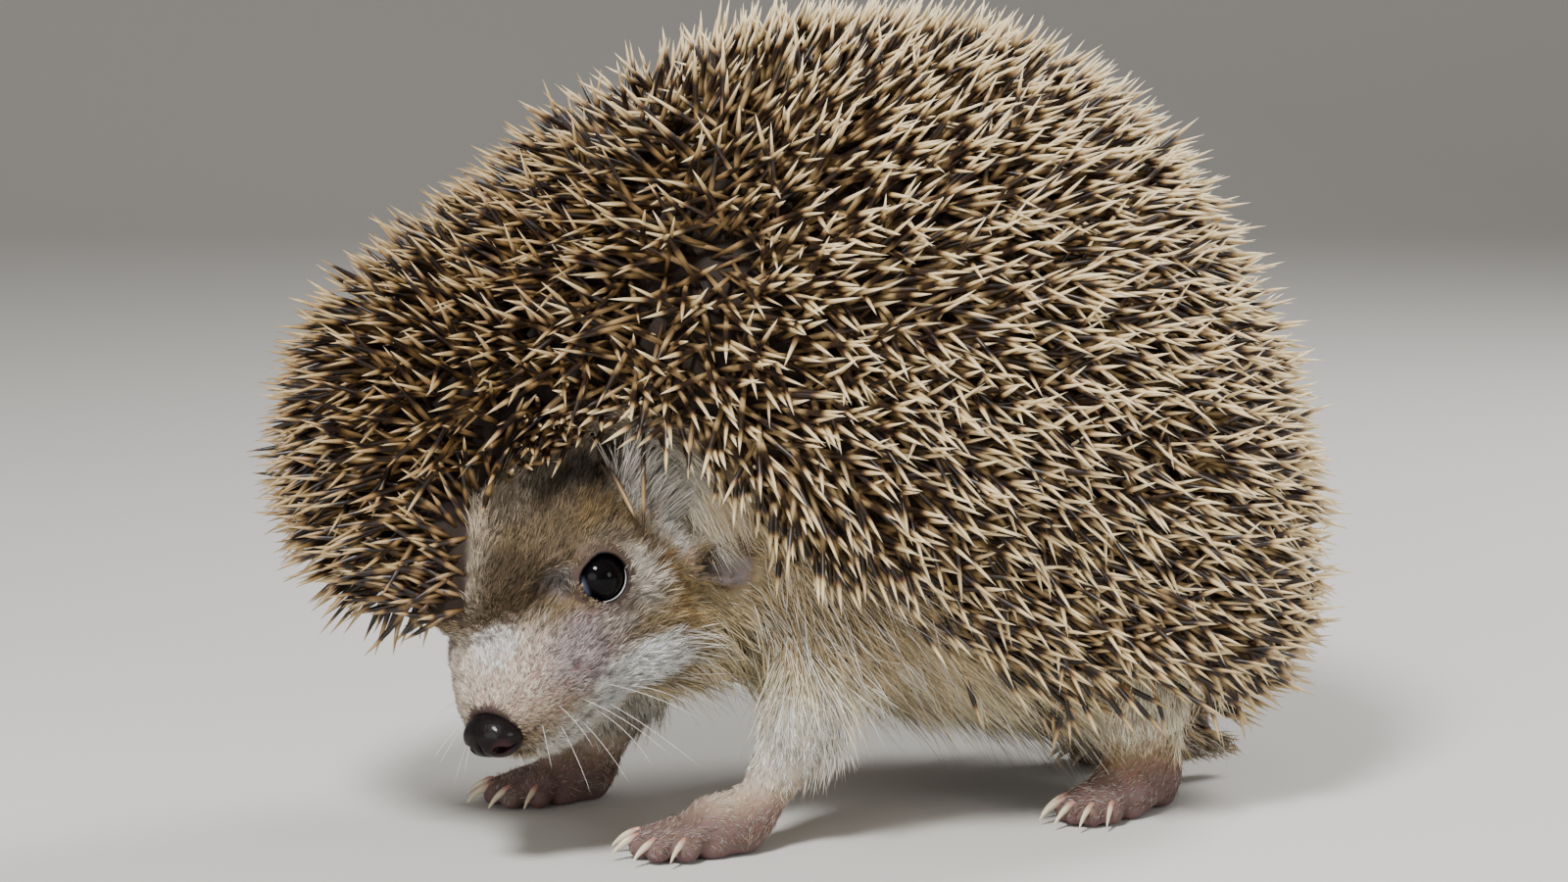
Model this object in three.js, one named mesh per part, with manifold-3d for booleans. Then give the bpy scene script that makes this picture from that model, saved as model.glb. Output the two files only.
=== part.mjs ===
// A life-size hedgehog standing with its back humped, its spiny brow drawn forward as a hood and its head
// lowered and turned to its left. It is a still model: every piece is fixed.
// Millimetres. The animal faces -Y, its left side is +X and +Z is up. The origin is on the floor, under the
// middle of the whole animal. The outer surfaces of trunk, head, neck and legs are those of the coat's tips.
import * as THREE from 'three';
import { mergeVertices } from 'three/addons/utils/BufferGeometryUtils.js';
import Module from 'manifold-3d';

const wasm = await Module();
wasm.setup();

// ---------------------------------------------------------------- driving dimensions
const GAP = 0.3; // clearance between neighbouring solids
const HALF_WIDTH = 53; // of the spined back, to the tips of the spines
const BACK_HEIGHT = 137; // of the hump above the floor

const HEAD_YAW = 36; // degrees, turned to the animal's left
const HEAD_PITCH = 35; // degrees, lowered
const HEAD_ROLL = 6; // degrees, the right side lower
const EYE_MIDDLE = [8.2, -45.2, 45]; // the point halfway between the two eyes
const EYE_SPREAD = 10.3; // from the middle of the head to each eye
const EYE_RADIUS = 4.5;
const NOSE_AHEAD = 26.5; // of the nose pad's centre in front of the eyes
const NOSE_BELOW = 9;
const NOSE_RADII = [4.4, 3.4, 3.7];
// Of the left ear, in the head's frame: its middle, the way its leaf runs to the tip, the way it faces, and
// half its width, depth and length.
const EAR_AT = [22.4, 13, -8.8];
const EAR_ALONG = [0.18, 0.62, -0.76];
const EAR_FACING = [0.86, -0.5, 0];
const EAR_RADII = [4.4, 2.8, 7.9];

const TOE_RADIUS = 2.1;
const CLAW_RADIUS = 0.9;
const CLAW_BEND = 60; // degrees
// Of a fore and a hind foot: the claws' length, each toe's reach ahead of the palm, the angle between
// neighbouring toes in degrees, and how far behind the palm the heel lies.
const FORE = { claw: 5.5, reach: [9, 11.8, 12.6, 11.8, 8.6], fan: 20, heel: 4 };
const HIND = { claw: 6, reach: [9, 11.5, 12.3, 11.5, 9], fan: 15, heel: 9 };

// ---------------------------------------------------------------- materials
const matt = (color, roughness = 0.9) => new THREE.MeshStandardMaterial({ color, roughness, metalness: 0 });
const SPINES = matt(0x8a7458);
const FUR = matt(0xb7a07c);
const FACE_FUR = matt(0x9a8468);
const LEG_FUR = matt(0xcdbb9c);
const BARE_SKIN = matt(0xb98f80, 0.6);
const EAR_SKIN = matt(0x8f8380, 0.7);
const EYE = matt(0x0b0a0c, 0.05);
const NOSE = matt(0x2a1d1d, 0.35);
const CLAW = matt(0xe6d9bb, 0.4);

// ---------------------------------------------------------------- shapes as fields
// A field gives the distance from a point to a surface: negative inside, positive outside.
const vec = (a) => new THREE.Vector3(...a);
const radians = THREE.MathUtils.degToRad;

function ellipsoid(centre, radii) {
  const c = vec(centre);
  const q = new THREE.Vector3();
  return (p) => {
    q.copy(p).sub(c);
    const k0 = Math.hypot(q.x / radii[0], q.y / radii[1], q.z / radii[2]);
    const k1 = Math.hypot(q.x / radii[0] ** 2, q.y / radii[1] ** 2, q.z / radii[2] ** 2);
    return k1 < 1e-9 ? -Math.min(...radii) : (k0 * (k0 - 1)) / k1;
  };
}

// A cone with a ball at each end.
function roundCone(from, fromRadius, to, toRadius) {
  const a = vec(from);
  const axis = vec(to).sub(a);
  const q = new THREE.Vector3();
  return (p) => {
    q.copy(p).sub(a);
    const h = THREE.MathUtils.clamp(q.dot(axis) / axis.lengthSq(), 0, 1);
    return q.addScaledVector(axis, -h).length() - THREE.MathUtils.lerp(fromRadius, toRadius, h);
  };
}

// The union of several fields, with the creases between them rounded over the given width.
function blend(width, ...fields) {
  const join = (a, b) => {
    const h = Math.max(width - Math.abs(a - b), 0) / width;
    return Math.min(a, b) - (h * h * width) / 4;
  };
  return (p) => fields.map((field) => field(p)).reduce(join);
}

// A field with hollows taken out of it, whose rims are rounded over the given width.
function carve(width, field, ...hollows) {
  const cut = (a, b) => {
    const h = Math.max(width - Math.abs(a + b), 0) / width;
    return Math.max(a, -b) + (h * h * width) / 4;
  };
  return (p) => hollows.map((hollow) => hollow(p)).reduce(cut, field(p));
}

// A field that is given in a frame of its own, seen from the whole model's frame.
function placed(field, place) {
  const back = place.clone().invert();
  const q = new THREE.Vector3();
  return (p) => field(q.copy(p).applyMatrix4(back).clone());
}

// The surface of a field as a closed grid: a sphere whose poles lie along from -> to, each vertex of which is
// moved out from that axis until the field is zero. The surface can be grown by a few tenths.
function surface(field, [from, to], around, along, grown = 0) {
  const a = vec(from);
  const axis = vec(to).sub(a);
  const turn = new THREE.Quaternion().setFromUnitVectors(new THREE.Vector3(0, 1, 0), axis.clone().normalize());
  const sphere = new THREE.SphereGeometry(1, around, along);
  const position = sphere.getAttribute('position');
  const uv = sphere.getAttribute('uv');
  const at = (start, way, t) => field(start.clone().addScaledVector(way, t)) - grown;
  for (let i = 0; i < position.count; i++) {
    const start = a.clone().addScaledVector(axis, uv.getY(i));
    const way = new THREE.Vector3().fromBufferAttribute(position, i).applyQuaternion(turn).normalize();
    let inside = 0;
    let outside = 1;
    while (at(start, way, outside) < 0) {
      inside = outside;
      outside += 1;
    }
    for (let step = 0; step < 18; step++) {
      const middle = (inside + outside) / 2;
      if (at(start, way, middle) < 0) inside = middle;
      else outside = middle;
    }
    const point = start.addScaledVector(way, outside);
    position.setXYZ(i, point.x, point.y, point.z);
  }
  return sphere;
}

// ---------------------------------------------------------------- solids
function solid(geometry, place = new THREE.Matrix4()) {
  const bare = new THREE.BufferGeometry().setAttribute('position', geometry.getAttribute('position').clone());
  bare.setIndex(geometry.index);
  const merged = mergeVertices(bare.applyMatrix4(place), 1e-3);
  const vertProperties = new Float32Array(merged.getAttribute('position').array);
  return new wasm.Manifold(new wasm.Mesh({ numProp: 3, vertProperties, triVerts: new Uint32Array(merged.index.array) }));
}

// Cuts the neighbours back from a solid and keeps the largest body, without the slivers that a cut leaves.
function trim(body, ...cutters) {
  const cut = cutters.reduce((left, cutter) => left.subtract(cutter), body);
  return cut.decompose().sort((a, b) => b.volume() - a.volume())[0];
}

const model = new THREE.Group();

function add(name, body, material) {
  const { vertProperties, triVerts } = body.getMesh();
  const geometry = new THREE.BufferGeometry();
  geometry.setAttribute('position', new THREE.BufferAttribute(new Float32Array(vertProperties), 3));
  geometry.setIndex(new THREE.BufferAttribute(new Uint32Array(triVerts), 1));
  geometry.computeVertexNormals();
  const mesh = new THREE.Mesh(geometry, material);
  mesh.name = name;
  model.add(mesh);
}

// Everything on the far side of a plane, moved on along its normal by a small step.
function beyond({ point, normal }, step = 0) {
  const SIDE = 500;
  const way = vec(normal).normalize();
  const box = new THREE.BoxGeometry(SIDE, SIDE, SIDE).translate(0, 0, SIDE / 2 + step);
  const turn = new THREE.Quaternion().setFromUnitVectors(new THREE.Vector3(0, 0, 1), way);
  return solid(box, new THREE.Matrix4().makeRotationFromQuaternion(turn).setPosition(...point));
}

// What lies below a level, to be cut away so that a flat is left.
const below = (level) => beyond({ point: [0, 0, level], normal: [0, 0, -1] });

// Points of a frame of its own, in the whole model's frame.
const along = (place, points) => points.map((point) => vec(point).applyMatrix4(place).toArray());

// ---------------------------------------------------------------- head's frame
// Its origin lies between the eyes, -Y points ahead to the nose, +X to the left and +Z up.
const headPlace = new THREE.Matrix4()
  .makeTranslation(...EYE_MIDDLE)
  .multiply(new THREE.Matrix4().makeRotationZ(radians(HEAD_YAW)))
  .multiply(new THREE.Matrix4().makeRotationX(radians(HEAD_PITCH)))
  .multiply(new THREE.Matrix4().makeRotationY(radians(-HEAD_ROLL)));

// ---------------------------------------------------------------- flesh
// Head, neck and the furred underside of the trunk are one smooth form, parted by two planes with thin cuts.
const headForm = blend(
  5,
  ellipsoid([0, 15, 0], [19, 22, 16]),
  ellipsoid([12.5, 13, -7], [10, 13, 11]),
  ellipsoid([-12.5, 13, -7], [10, 13, 11]),
  ellipsoid([9.5, 7, -15.5], [11, 14, 10]),
  ellipsoid([-9.5, 7, -15.5], [11, 14, 10]),
  ellipsoid([9.2, -8, -8], [6.3, 9, 8]),
  ellipsoid([-9.2, -8, -8], [6.3, 9, 8]),
  ellipsoid([6, -13, -3], [6.2, 7, 5]),
  ellipsoid([-6, -13, -3], [6.2, 7, 5]),
  ellipsoid([0, 3, 5], [12, 12, 7]),
  roundCone([0, -1, -8.5], 13.5, [0, -20.2, -9.2], 8),
  ellipsoid([5, -16, -9.5], [6.5, 7.5, 6.8]),
  ellipsoid([-5, -16, -9.5], [6.5, 7.5, 6.8]),
  roundCone([0, 6, -14], 8, [0, -18, -14.6], 4.6),
  roundCone([7, 0, -14.5], 8.5, [4.5, -17, -12.8], 5.4),
  roundCone([-7, 0, -14.5], 8.5, [-4.5, -17, -12.8], 5.4),
  roundCone([7, -3, 5.5], 3.6, [-2, -11, 4], 4.6),
  roundCone([-2, -11, 4], 4.6, [-8, -12, 5], 5),
  roundCone([-2, -6, 9], 6.5, [-9, -5, 12], 9),
  ellipsoid([-6, -8.5, 7], [10.5, 8, 7]),
  // A ridge of skin runs up from the front of each ear.
  roundCone([19, 10.4, -3], 2.5, [13, 14, 9.5], 2.4),
  roundCone([-19, 10.4, -3], 2.5, [-13, 14, 9.5], 2.4),
);
// The lids draw back from the eyes, and each socket is a shallow dish that looks outwards, ahead and up.
const SOCKET_RADIUS = 7;
const sockets = [1, -1].map((side) => ellipsoid([side * (EYE_SPREAD + 7), -3.9, 3.2], Array(3).fill(SOCKET_RADIUS)));
const headField = carve(2, headForm, ...sockets);
const neckField = blend(
  8,
  roundCone([-3, -26, 50], 15, [0, -2, 46], 24),
  ellipsoid([4, -25, 37], [17, 18, 14]),
  ellipsoid([10, -19, 57], [12, 12, 12]),
  ellipsoid([-10, -17, 50], [13, 13, 14]),
);
const underField = blend(14, ellipsoid([0, 14, 46], [37, 38, 27]), ellipsoid([0, 46, 44], [38, 42, 31]));
// The fur parts round each ear, which lies in a shallow dish behind the cheek.
const earDishes = [1, -1].map((side) => placed(ellipsoid([side * 31, 15, -9], [10, 12, 13]), headPlace));
const fleshField = carve(3, blend(5, placed(headField, headPlace), neckField, underField), ...earDishes);

// The head ends behind the ears, on a round cut, and the neck in front of the shoulders, on a plane: a point
// and the direction that faces the tail.
const headBounds = ellipsoid([0, 0, -5], [36, 25, 36]);
const SHOULDER_PLANE = { point: [0, -8, 45], normal: [-0.2, 0.98, 0] };

const headRoom = (grown) => solid(surface(headBounds, [[0, -4, -5], [0, 4, -5]], 18, 12, grown), headPlace);
const cutHead = () =>
  solid(surface(fleshField, along(headPlace, [[0, 14, -4], [0, -17, -9]]), 22, 18)).intersect(headRoom(0));
const cutNeck = (grown = 0) =>
  solid(surface(fleshField, [[-10, -22, 46], [10, -14, 46]], 16, 10, grown))
    .subtract(headRoom(GAP))
    .subtract(beyond(SHOULDER_PLANE, grown));
const cutUnder = (grown = 0) =>
  solid(surface(fleshField, [[0, -2, 46], [0, 54, 44]], 20, 14, grown))
    .intersect(beyond(SHOULDER_PLANE, GAP - grown));

// ---------------------------------------------------------------- trunk
// The spined mantle covers the back and rump and reaches over the brow as a hood. Its tips end at a skirt, and
// the furred flanks, chest and belly come out from under it.
const mantleField = blend(
  20,
  ellipsoid([0, 13, BACK_HEIGHT - 60], [HALF_WIDTH - 1, 71, 59.5]),
  ellipsoid([0, 54, 52], [45, 42, 43]),
  ellipsoid([0, 58, 34], [40, 36, 32]),
  ellipsoid([-11, -50, 64.5], [31, 33, 30]),
  ellipsoid([-11, -54, 50], [25, 21, 15]),
);
const MANTLE_AXIS = [[-6, -46, 64], [0, 50, 60]];
// The skirt's lower edge, seen from the side: distance behind the origin and height.
const SKIRT = [
  [-110, 33], [-62, 33], [-40, 50], [-26, 54], [-14, 50], [-2, 44], [10, 36], [22, 29], [43, 19], [60, 12], [74, 8],
  [110, 8],
];
// The two hollows of the hood: the open one on the side that the face is turned to, and the one that lies
// round the face itself.
const openSide = ellipsoid([31, -45, 36], [27, 26, 34]);
const faceHollow = ellipsoid([-5, -6, -10], [25, 23, 22]);

function skirtCutter(drop) {
  const REACH = 150;
  const edge = SKIRT.map(([y, z]) => new THREE.Vector2(y, z - drop));
  const outline = [...edge, new THREE.Vector2(110, -60), new THREE.Vector2(-110, -60)];
  const slab = new THREE.ExtrudeGeometry(new THREE.Shape(outline), { depth: REACH, bevelEnabled: false });
  // The outline's own x runs along +Y and its y along +Z, so its depth runs along +X.
  const turn = new THREE.Matrix4().makeBasis(vec([0, 1, 0]), vec([0, 0, 1]), vec([1, 0, 0]));
  return solid(slab, turn.premultiply(new THREE.Matrix4().makeTranslation(-REACH / 2, 0, 0)));
}

function mantleSolid(grown = 0) {
  const whole = solid(surface(mantleField, MANTLE_AXIS, 33, 22, grown));
  const open = solid(surface(openSide, [[31, -49, 36], [31, -41, 36]], 20, 14, -grown));
  const hollow = solid(surface(faceHollow, [[-5, -8, -10], [-5, -4, -10]], 20, 12, -grown), headPlace);
  return whole.subtract(skirtCutter(grown)).subtract(open).subtract(hollow);
}

const mantleCutter = mantleSolid(GAP);
const trunkCutter = mantleCutter.add(cutUnder(GAP));

// The tail is short and hangs behind the hind legs, under the skirt.
const tailField = roundCone([0, 66, 9], 4.5, [0, 85, 5.5], 2.2);

// ---------------------------------------------------------------- eyes, nose and ears
const eyeBall = (side, radius) =>
  solid(new THREE.SphereGeometry(radius, 12, 8).translate(side * EYE_SPREAD, 0, 0), headPlace);

const NOSE_AXIS = [0.5, -0.5].map((step) => [0, step - NOSE_AHEAD, -NOSE_BELOW]);
const nosePad = (grown) =>
  solid(surface(ellipsoid([0, -NOSE_AHEAD, -NOSE_BELOW], NOSE_RADII), NOSE_AXIS, 12, 8, grown), headPlace);

// An ear is a narrow leaf that lies back against the neck, with a shallow hollow in the side that it faces.
function earCup(side, grown = 0) {
  const leaf = vec(EAR_ALONG).normalize();
  const facing = vec(EAR_FACING).addScaledVector(leaf, -vec(EAR_FACING).dot(leaf)).normalize();
  for (const way of [leaf, facing]) way.x *= side;
  const across = leaf.clone().cross(facing);
  const cup = new THREE.Matrix4()
    .makeBasis(across, facing.clone().negate(), leaf)
    .setPosition(side * EAR_AT[0], EAR_AT[1], EAR_AT[2]);
  const place = headPlace.clone().multiply(cup);
  const ball = (inset) => new THREE.SphereGeometry(1, 10, 8).scale(...EAR_RADII.map((radius) => radius - inset));
  if (grown) return solid(ball(-grown), place);
  return solid(ball(0), place).subtract(solid(ball(0.8).translate(0, -1.6, 0), place));
}

// ---------------------------------------------------------------- legs and feet
// Each leg runs from a joint inside the trunk to the wrist or heel, and its foot stands flat on the floor.
const LEGS = [
  { name: 'foreleg_left', foot: 'forefoot_left', kind: FORE, top: [19, 1, 36], bend: [20, -5.5, 20],
    end: [19, -13, 7], radii: [9.5, 7.6, 5.2], stand: [18.5, -20.5], turn: -4 },
  { name: 'foreleg_right', foot: 'forefoot_right', kind: FORE, top: [-19, -12, 36], bend: [-25, -18, 20],
    end: [-28, -23, 7], radii: [9.5, 7.6, 5.2], stand: [-28, -29], turn: 0 },
  { name: 'hindleg_left', foot: 'hindfoot_left', kind: HIND, top: [20, 46, 36], bend: [20, 55, 18],
    end: [17, 61, 8], radii: [14, 9.5, 6], stand: [20.5, 53], turn: 22 },
  { name: 'hindleg_right', foot: 'hindfoot_right', kind: HIND, top: [-18, 58, 34], bend: [-18, 72, 18],
    end: [-17, 86, 8], radii: [14, 9, 5.8], stand: [-17, 78], turn: 0 },
];

// A curved claw that points ahead and down from its root.
function clawGeometry(length, grown = 0) {
  const SIDES = 5;
  const STEPS = 3;
  const cone = new THREE.CylinderGeometry(0.25 + grown, CLAW_RADIUS + grown, 1, SIDES, STEPS).translate(0, 0.5, 0);
  const position = cone.getAttribute('position');
  const bendRadius = length / radians(CLAW_BEND);
  for (let i = 0; i < position.count; i++) {
    const angle = position.getY(i) * radians(CLAW_BEND);
    const reach = bendRadius + position.getZ(i);
    position.setXYZ(i, -position.getX(i), -reach * Math.sin(angle), reach * Math.cos(angle) - bendRadius);
  }
  return cone;
}

function toes({ reach, fan }) {
  return reach.map((length, i) => {
    const angle = radians((i - 2) * fan);
    return { angle, tip: [length * Math.sin(angle), -length * Math.cos(angle), TOE_RADIUS + 0.2] };
  });
}

// A foot is the union of its palm, with the heel, and its toes.
function footSolid(kind, place, grown = 0) {
  const palm = blend(3, ellipsoid([0, 1, 4], [6, 7, 4.8]), roundCone([0, 1, 4.8], 4.6, [0, kind.heel, 5], 4.6));
  const pieces = [solid(surface(palm, [[0, kind.heel, 4.5], [0, -1, 4.2]], 8, 6, grown), place)];
  for (const { tip, angle } of toes(kind)) {
    const root = [4.2 * Math.sin(angle), -2, 3.6];
    pieces.push(solid(surface(roundCone(root, 2.5, tip, TOE_RADIUS), [root, tip], 5, 4, grown), place));
  }
  return pieces.reduce((made, piece) => made.add(piece));
}

function legSolid({ top, bend, end, radii }) {
  const thigh = roundCone(top, radii[0], bend, radii[1]);
  const shin = roundCone(bend, radii[1], end, radii[2]);
  return solid(surface(blend(4, thigh, shin), [top, end], 12, 9));
}

// ---------------------------------------------------------------- assembly
const sides = [[1, 'left'], [-1, 'right']];
const earCutters = sides.map(([side]) => earCup(side, GAP));
const eyeCutters = sides.map(([side]) => eyeBall(side, EYE_RADIUS + GAP));
const floor = below(0);
add('trunk', trim(mantleSolid().add(cutUnder()), ...earCutters), SPINES);
add('tail', trim(solid(surface(tailField, [[0, 67, 9], [0, 84, 5.5]], 10, 8)), trunkCutter), FUR);
add('neck', trim(cutNeck(), mantleCutter, ...earCutters), FUR);
add('head', trim(cutHead(), mantleCutter, nosePad(GAP), ...eyeCutters, ...earCutters), FACE_FUR);
add('nose', nosePad(0), NOSE);
for (const [side, name] of sides) {
  add(`eye_${name}`, eyeBall(side, EYE_RADIUS), EYE);
  add(`ear_${name}`, earCup(side), EAR_SKIN);
}

for (const leg of LEGS) {
  const place = new THREE.Matrix4()
    .makeTranslation(leg.stand[0], leg.stand[1], 0)
    .multiply(new THREE.Matrix4().makeRotationZ(radians(leg.turn)));
  const clawPlaces = toes(leg.kind).map(({ angle, tip }) =>
    place.clone()
      .multiply(new THREE.Matrix4().makeTranslation(tip[0], tip[1], tip[2] + 1))
      .multiply(new THREE.Matrix4().makeRotationZ(angle)));
  const claws = clawPlaces.map((at) => solid(clawGeometry(leg.kind.claw), at));
  const clawCutters = clawPlaces.map((at) => solid(clawGeometry(leg.kind.claw, GAP), at));
  const neighbours = [trunkCutter, cutNeck(GAP), footSolid(leg.kind, place, GAP), floor];
  add(leg.name, trim(legSolid(leg), ...neighbours), LEG_FUR);
  add(leg.foot, trim(footSolid(leg.kind, place), trunkCutter, floor, ...clawCutters), BARE_SKIN);
  claws.forEach((claw, i) => add(`${leg.foot.replace('foot', '_claw')}_${i + 1}`, claw, CLAW));
}

// The origin moves to the floor, under the middle of the animal.
const bounds = new THREE.Box3().setFromObject(model);
const middle = bounds.getCenter(new THREE.Vector3());
for (const mesh of model.children) mesh.position.set(-middle.x, -middle.y, -bounds.min.z);

export default model;
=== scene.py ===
import bpy
import numpy as np
import openvdb
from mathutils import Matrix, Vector
from mathutils.kdtree import KDTree


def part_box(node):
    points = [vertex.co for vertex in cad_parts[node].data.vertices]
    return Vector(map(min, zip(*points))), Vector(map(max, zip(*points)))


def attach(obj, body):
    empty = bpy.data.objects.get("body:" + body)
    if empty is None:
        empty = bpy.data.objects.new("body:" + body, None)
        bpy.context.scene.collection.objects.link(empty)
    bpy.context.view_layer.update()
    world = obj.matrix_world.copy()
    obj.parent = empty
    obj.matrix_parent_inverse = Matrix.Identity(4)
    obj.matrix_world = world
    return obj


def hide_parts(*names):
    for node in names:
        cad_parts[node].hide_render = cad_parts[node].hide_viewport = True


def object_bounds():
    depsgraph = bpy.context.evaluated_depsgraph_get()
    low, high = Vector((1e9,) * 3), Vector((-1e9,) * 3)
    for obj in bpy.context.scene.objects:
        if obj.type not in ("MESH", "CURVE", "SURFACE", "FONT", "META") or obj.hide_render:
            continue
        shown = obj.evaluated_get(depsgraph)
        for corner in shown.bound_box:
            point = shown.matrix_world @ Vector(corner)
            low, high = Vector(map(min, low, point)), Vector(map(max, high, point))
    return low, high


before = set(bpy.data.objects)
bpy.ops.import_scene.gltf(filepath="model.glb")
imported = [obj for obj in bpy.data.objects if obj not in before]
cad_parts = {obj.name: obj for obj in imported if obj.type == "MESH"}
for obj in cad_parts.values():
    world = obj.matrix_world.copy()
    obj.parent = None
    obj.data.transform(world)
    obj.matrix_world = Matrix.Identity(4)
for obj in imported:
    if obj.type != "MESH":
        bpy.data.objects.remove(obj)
cad_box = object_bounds()
MM = 0.001

# ------------------------------------------------------------ floor, light, view
# The animal stands on a plain pale floor that sweeps up far behind it, under soft studio boxes.
# The camera looks from its left front, a little from above, as one crouches to look at it.
low, high = (np.array(corner) for corner in cad_box)
MIDDLE = (low + high) / 2
VIEW_AZIMUTH = 66
VIEW_ELEVATION = 7
VIEW_DISTANCE = 0.6
VIEW_TARGET = MIDDLE + np.array([0, -7.5, -4.3]) * MM
FLOOR_SIZE = 6.0
FLOOR_DROP = 0.0002  # keeps the soles clear of the sheet
CURVE_START = 1.5
CURVE_RADIUS = 1.2


def sweep_floor():
    """A sheet carried along a profile: flat, then up a quarter circle, y = r * sin a and z = r * (1 - cos a),
    and then a wall."""
    angle = np.linspace(0, np.pi / 2, 24)[1:]
    wall = CURVE_START + CURVE_RADIUS
    run = np.concatenate([[-FLOOR_SIZE / 2, CURVE_START], CURVE_START + CURVE_RADIUS * np.sin(angle), [wall]])
    rise = np.concatenate([[0, 0], CURVE_RADIUS * (1 - np.cos(angle)), [FLOOR_SIZE]])
    # The profile runs away from the camera, so that the wall stands behind the animal.
    away = np.radians(VIEW_AZIMUTH)
    ahead, across = np.array([-np.sin(away), np.cos(away)]), np.array([np.cos(away), np.sin(away)])
    points = [
        (*(ahead * y + across * side * FLOOR_SIZE / 2), z - FLOOR_DROP)
        for y, z in zip(run, rise)
        for side in (-1, 1)
    ]
    faces = [(2 * i, 2 * i + 1, 2 * i + 3, 2 * i + 2) for i in range(len(run) - 1)]
    mesh = bpy.data.meshes.new("studio_floor")
    mesh.from_pydata(points, [], faces)
    mesh.shade_smooth()
    floor = bpy.data.objects.new("studio_floor", mesh)
    bpy.context.collection.objects.link(floor)
    return floor


floor = sweep_floor()
paper = bpy.data.materials.new("pale paper")
paper.use_nodes = True
matt = paper.node_tree.nodes["Principled BSDF"]
matt.inputs["Base Color"].default_value = (0.62, 0.60, 0.57, 1)
matt.inputs["Roughness"].default_value = 0.9
floor.data.materials.append(paper)


def direction(azimuth, elevation):
    """The unit vector towards an azimuth, turned from the animal's front to its left, and an elevation."""
    a, e = np.radians([azimuth, elevation])
    return np.array([np.sin(a) * np.cos(e), -np.cos(a) * np.cos(e), np.sin(e)])


def soft_box(name, azimuth, elevation, distance, size, power):
    """A round lamp that faces the animal's middle, of a size in metres and a power in watts."""
    lamp = bpy.data.lights.new(name, "AREA")
    lamp.shape, lamp.size, lamp.energy = "DISK", size, power
    light = bpy.data.objects.new(name, lamp)
    bpy.context.collection.objects.link(light)
    light.location = Vector(MIDDLE + direction(azimuth, elevation) * distance)
    light.rotation_euler = Vector(-direction(azimuth, elevation)).to_track_quat("-Z", "Y").to_euler()


soft_box("key", 46, 46, 0.9, 0.20, 12.5)
soft_box("fill", 40, 8, 1.2, 0.7, 4.6)
soft_box("rim", 190, 40, 1.0, 0.4, 9.0)
soft_box("side", 120, 15, 1.1, 0.4, 3.0)
world = bpy.data.worlds.new("studio")
bpy.context.scene.world = world
world.use_nodes = True
background = world.node_tree.nodes["Background"]
background.inputs["Color"].default_value = (1.0, 0.98, 0.95, 1)
background.inputs["Strength"].default_value = 0.28

lens = bpy.data.cameras.new("camera")
lens.sensor_width = 36
lens.lens = 83.08
lens.clip_start = 0.05
camera = bpy.data.objects.new("camera", lens)
bpy.context.collection.objects.link(camera)
camera.location = Vector(VIEW_TARGET + direction(VIEW_AZIMUTH, VIEW_ELEVATION) * VIEW_DISTANCE)
camera.rotation_euler = Vector(-direction(VIEW_AZIMUTH, VIEW_ELEVATION)).to_track_quat("-Z", "Y").to_euler()
bpy.context.scene.camera = camera

# ------------------------------------------------------------ skin
# One skin covers the whole body: the mantle under the spines with its hood over the brow, the head with its
# lids, muzzle and ears, the furred flanks and belly, the tail, the four legs and the feet with their toes.
# It lies inside the solids by the coat's depth. Everything below is in millimetres until the mesh is made.
FACE_COAT = 1.2
CHEEK_COAT = 2.6
NECK_COAT = 4.5
BODY_COAT = 6.0
SPINE_COAT = 12.5
LEG_COAT = 1.8
FOOT_COAT = 0.5


def middle_of(node):
    """The middle of a solid's box, in millimetres."""
    return sum((np.array(corner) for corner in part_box(node)), np.zeros(3)) / 2 / MM


# The body's coordinates start on the floor under the shoulders, 7.5 mm ahead of the trunk's middle.
WITHERS = middle_of("trunk") * [1, 1, 0] + [0, -7.5, 0]
EYE_LEFT, EYE_RIGHT = (middle_of(f"eye_{side}") - WITHERS for side in ("left", "right"))
NOSE_MIDDLE = middle_of("nose") - WITHERS
EYE_RADIUS = (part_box("eye_left")[1][2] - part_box("eye_left")[0][2]) / 2 / MM
# The head's coordinates start between the eyes. X runs to the left eye, -Y ahead, and Z up: the nose pad's
# centre lies 26.5 ahead of the eyes and 9 below them.
HEAD_MIDDLE = (EYE_LEFT + EYE_RIGHT) / 2
EYE_SPREAD = np.linalg.norm(EYE_LEFT - EYE_RIGHT) / 2
NOSE_AT = np.array([0.0, -26.5, -9.0])


def head_axes():
    """The head's three unit axes as columns: X from eye to eye, then Y and Z turned so that the nose fits."""
    x = (EYE_LEFT - EYE_RIGHT) / (2 * EYE_SPREAD)
    nose = NOSE_MIDDLE - HEAD_MIDDLE
    nose -= x * (nose @ x)
    nose /= np.linalg.norm(nose)
    up = np.cross(nose, x)
    tilt = np.arctan2(NOSE_AT[2], -NOSE_AT[1])
    ahead = nose * np.cos(tilt) - up * np.sin(tilt)
    return np.column_stack([x, -ahead, np.cross(x, -ahead)])


HEAD_AXES = head_axes()


def ellipsoid(p, centre, radii):
    """About the distance to an ellipsoid: k0 * (k0 - 1) / k1, with k0 = |q / r| and k1 = |q / r^2|."""
    q = p - np.asarray(centre, p.dtype)
    r = np.asarray(radii, p.dtype)
    k0 = np.sqrt(((q / r) ** 2).sum(-1))
    k1 = np.sqrt(((q / r**2) ** 2).sum(-1))
    return k0 * (k0 - 1) / np.maximum(k1, 1e-6)


def round_cone(p, start, start_radius, end, end_radius):
    """The distance to a line, less a radius that goes evenly from one end's to the other's."""
    a = np.asarray(start, p.dtype)
    axis = np.asarray(end, p.dtype) - a
    h = np.clip((p - a) @ axis / (axis @ axis), 0, 1)
    q = p - a - h[:, None] * axis
    return np.sqrt((q**2).sum(-1)) - (start_radius + (end_radius - start_radius) * h)


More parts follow.
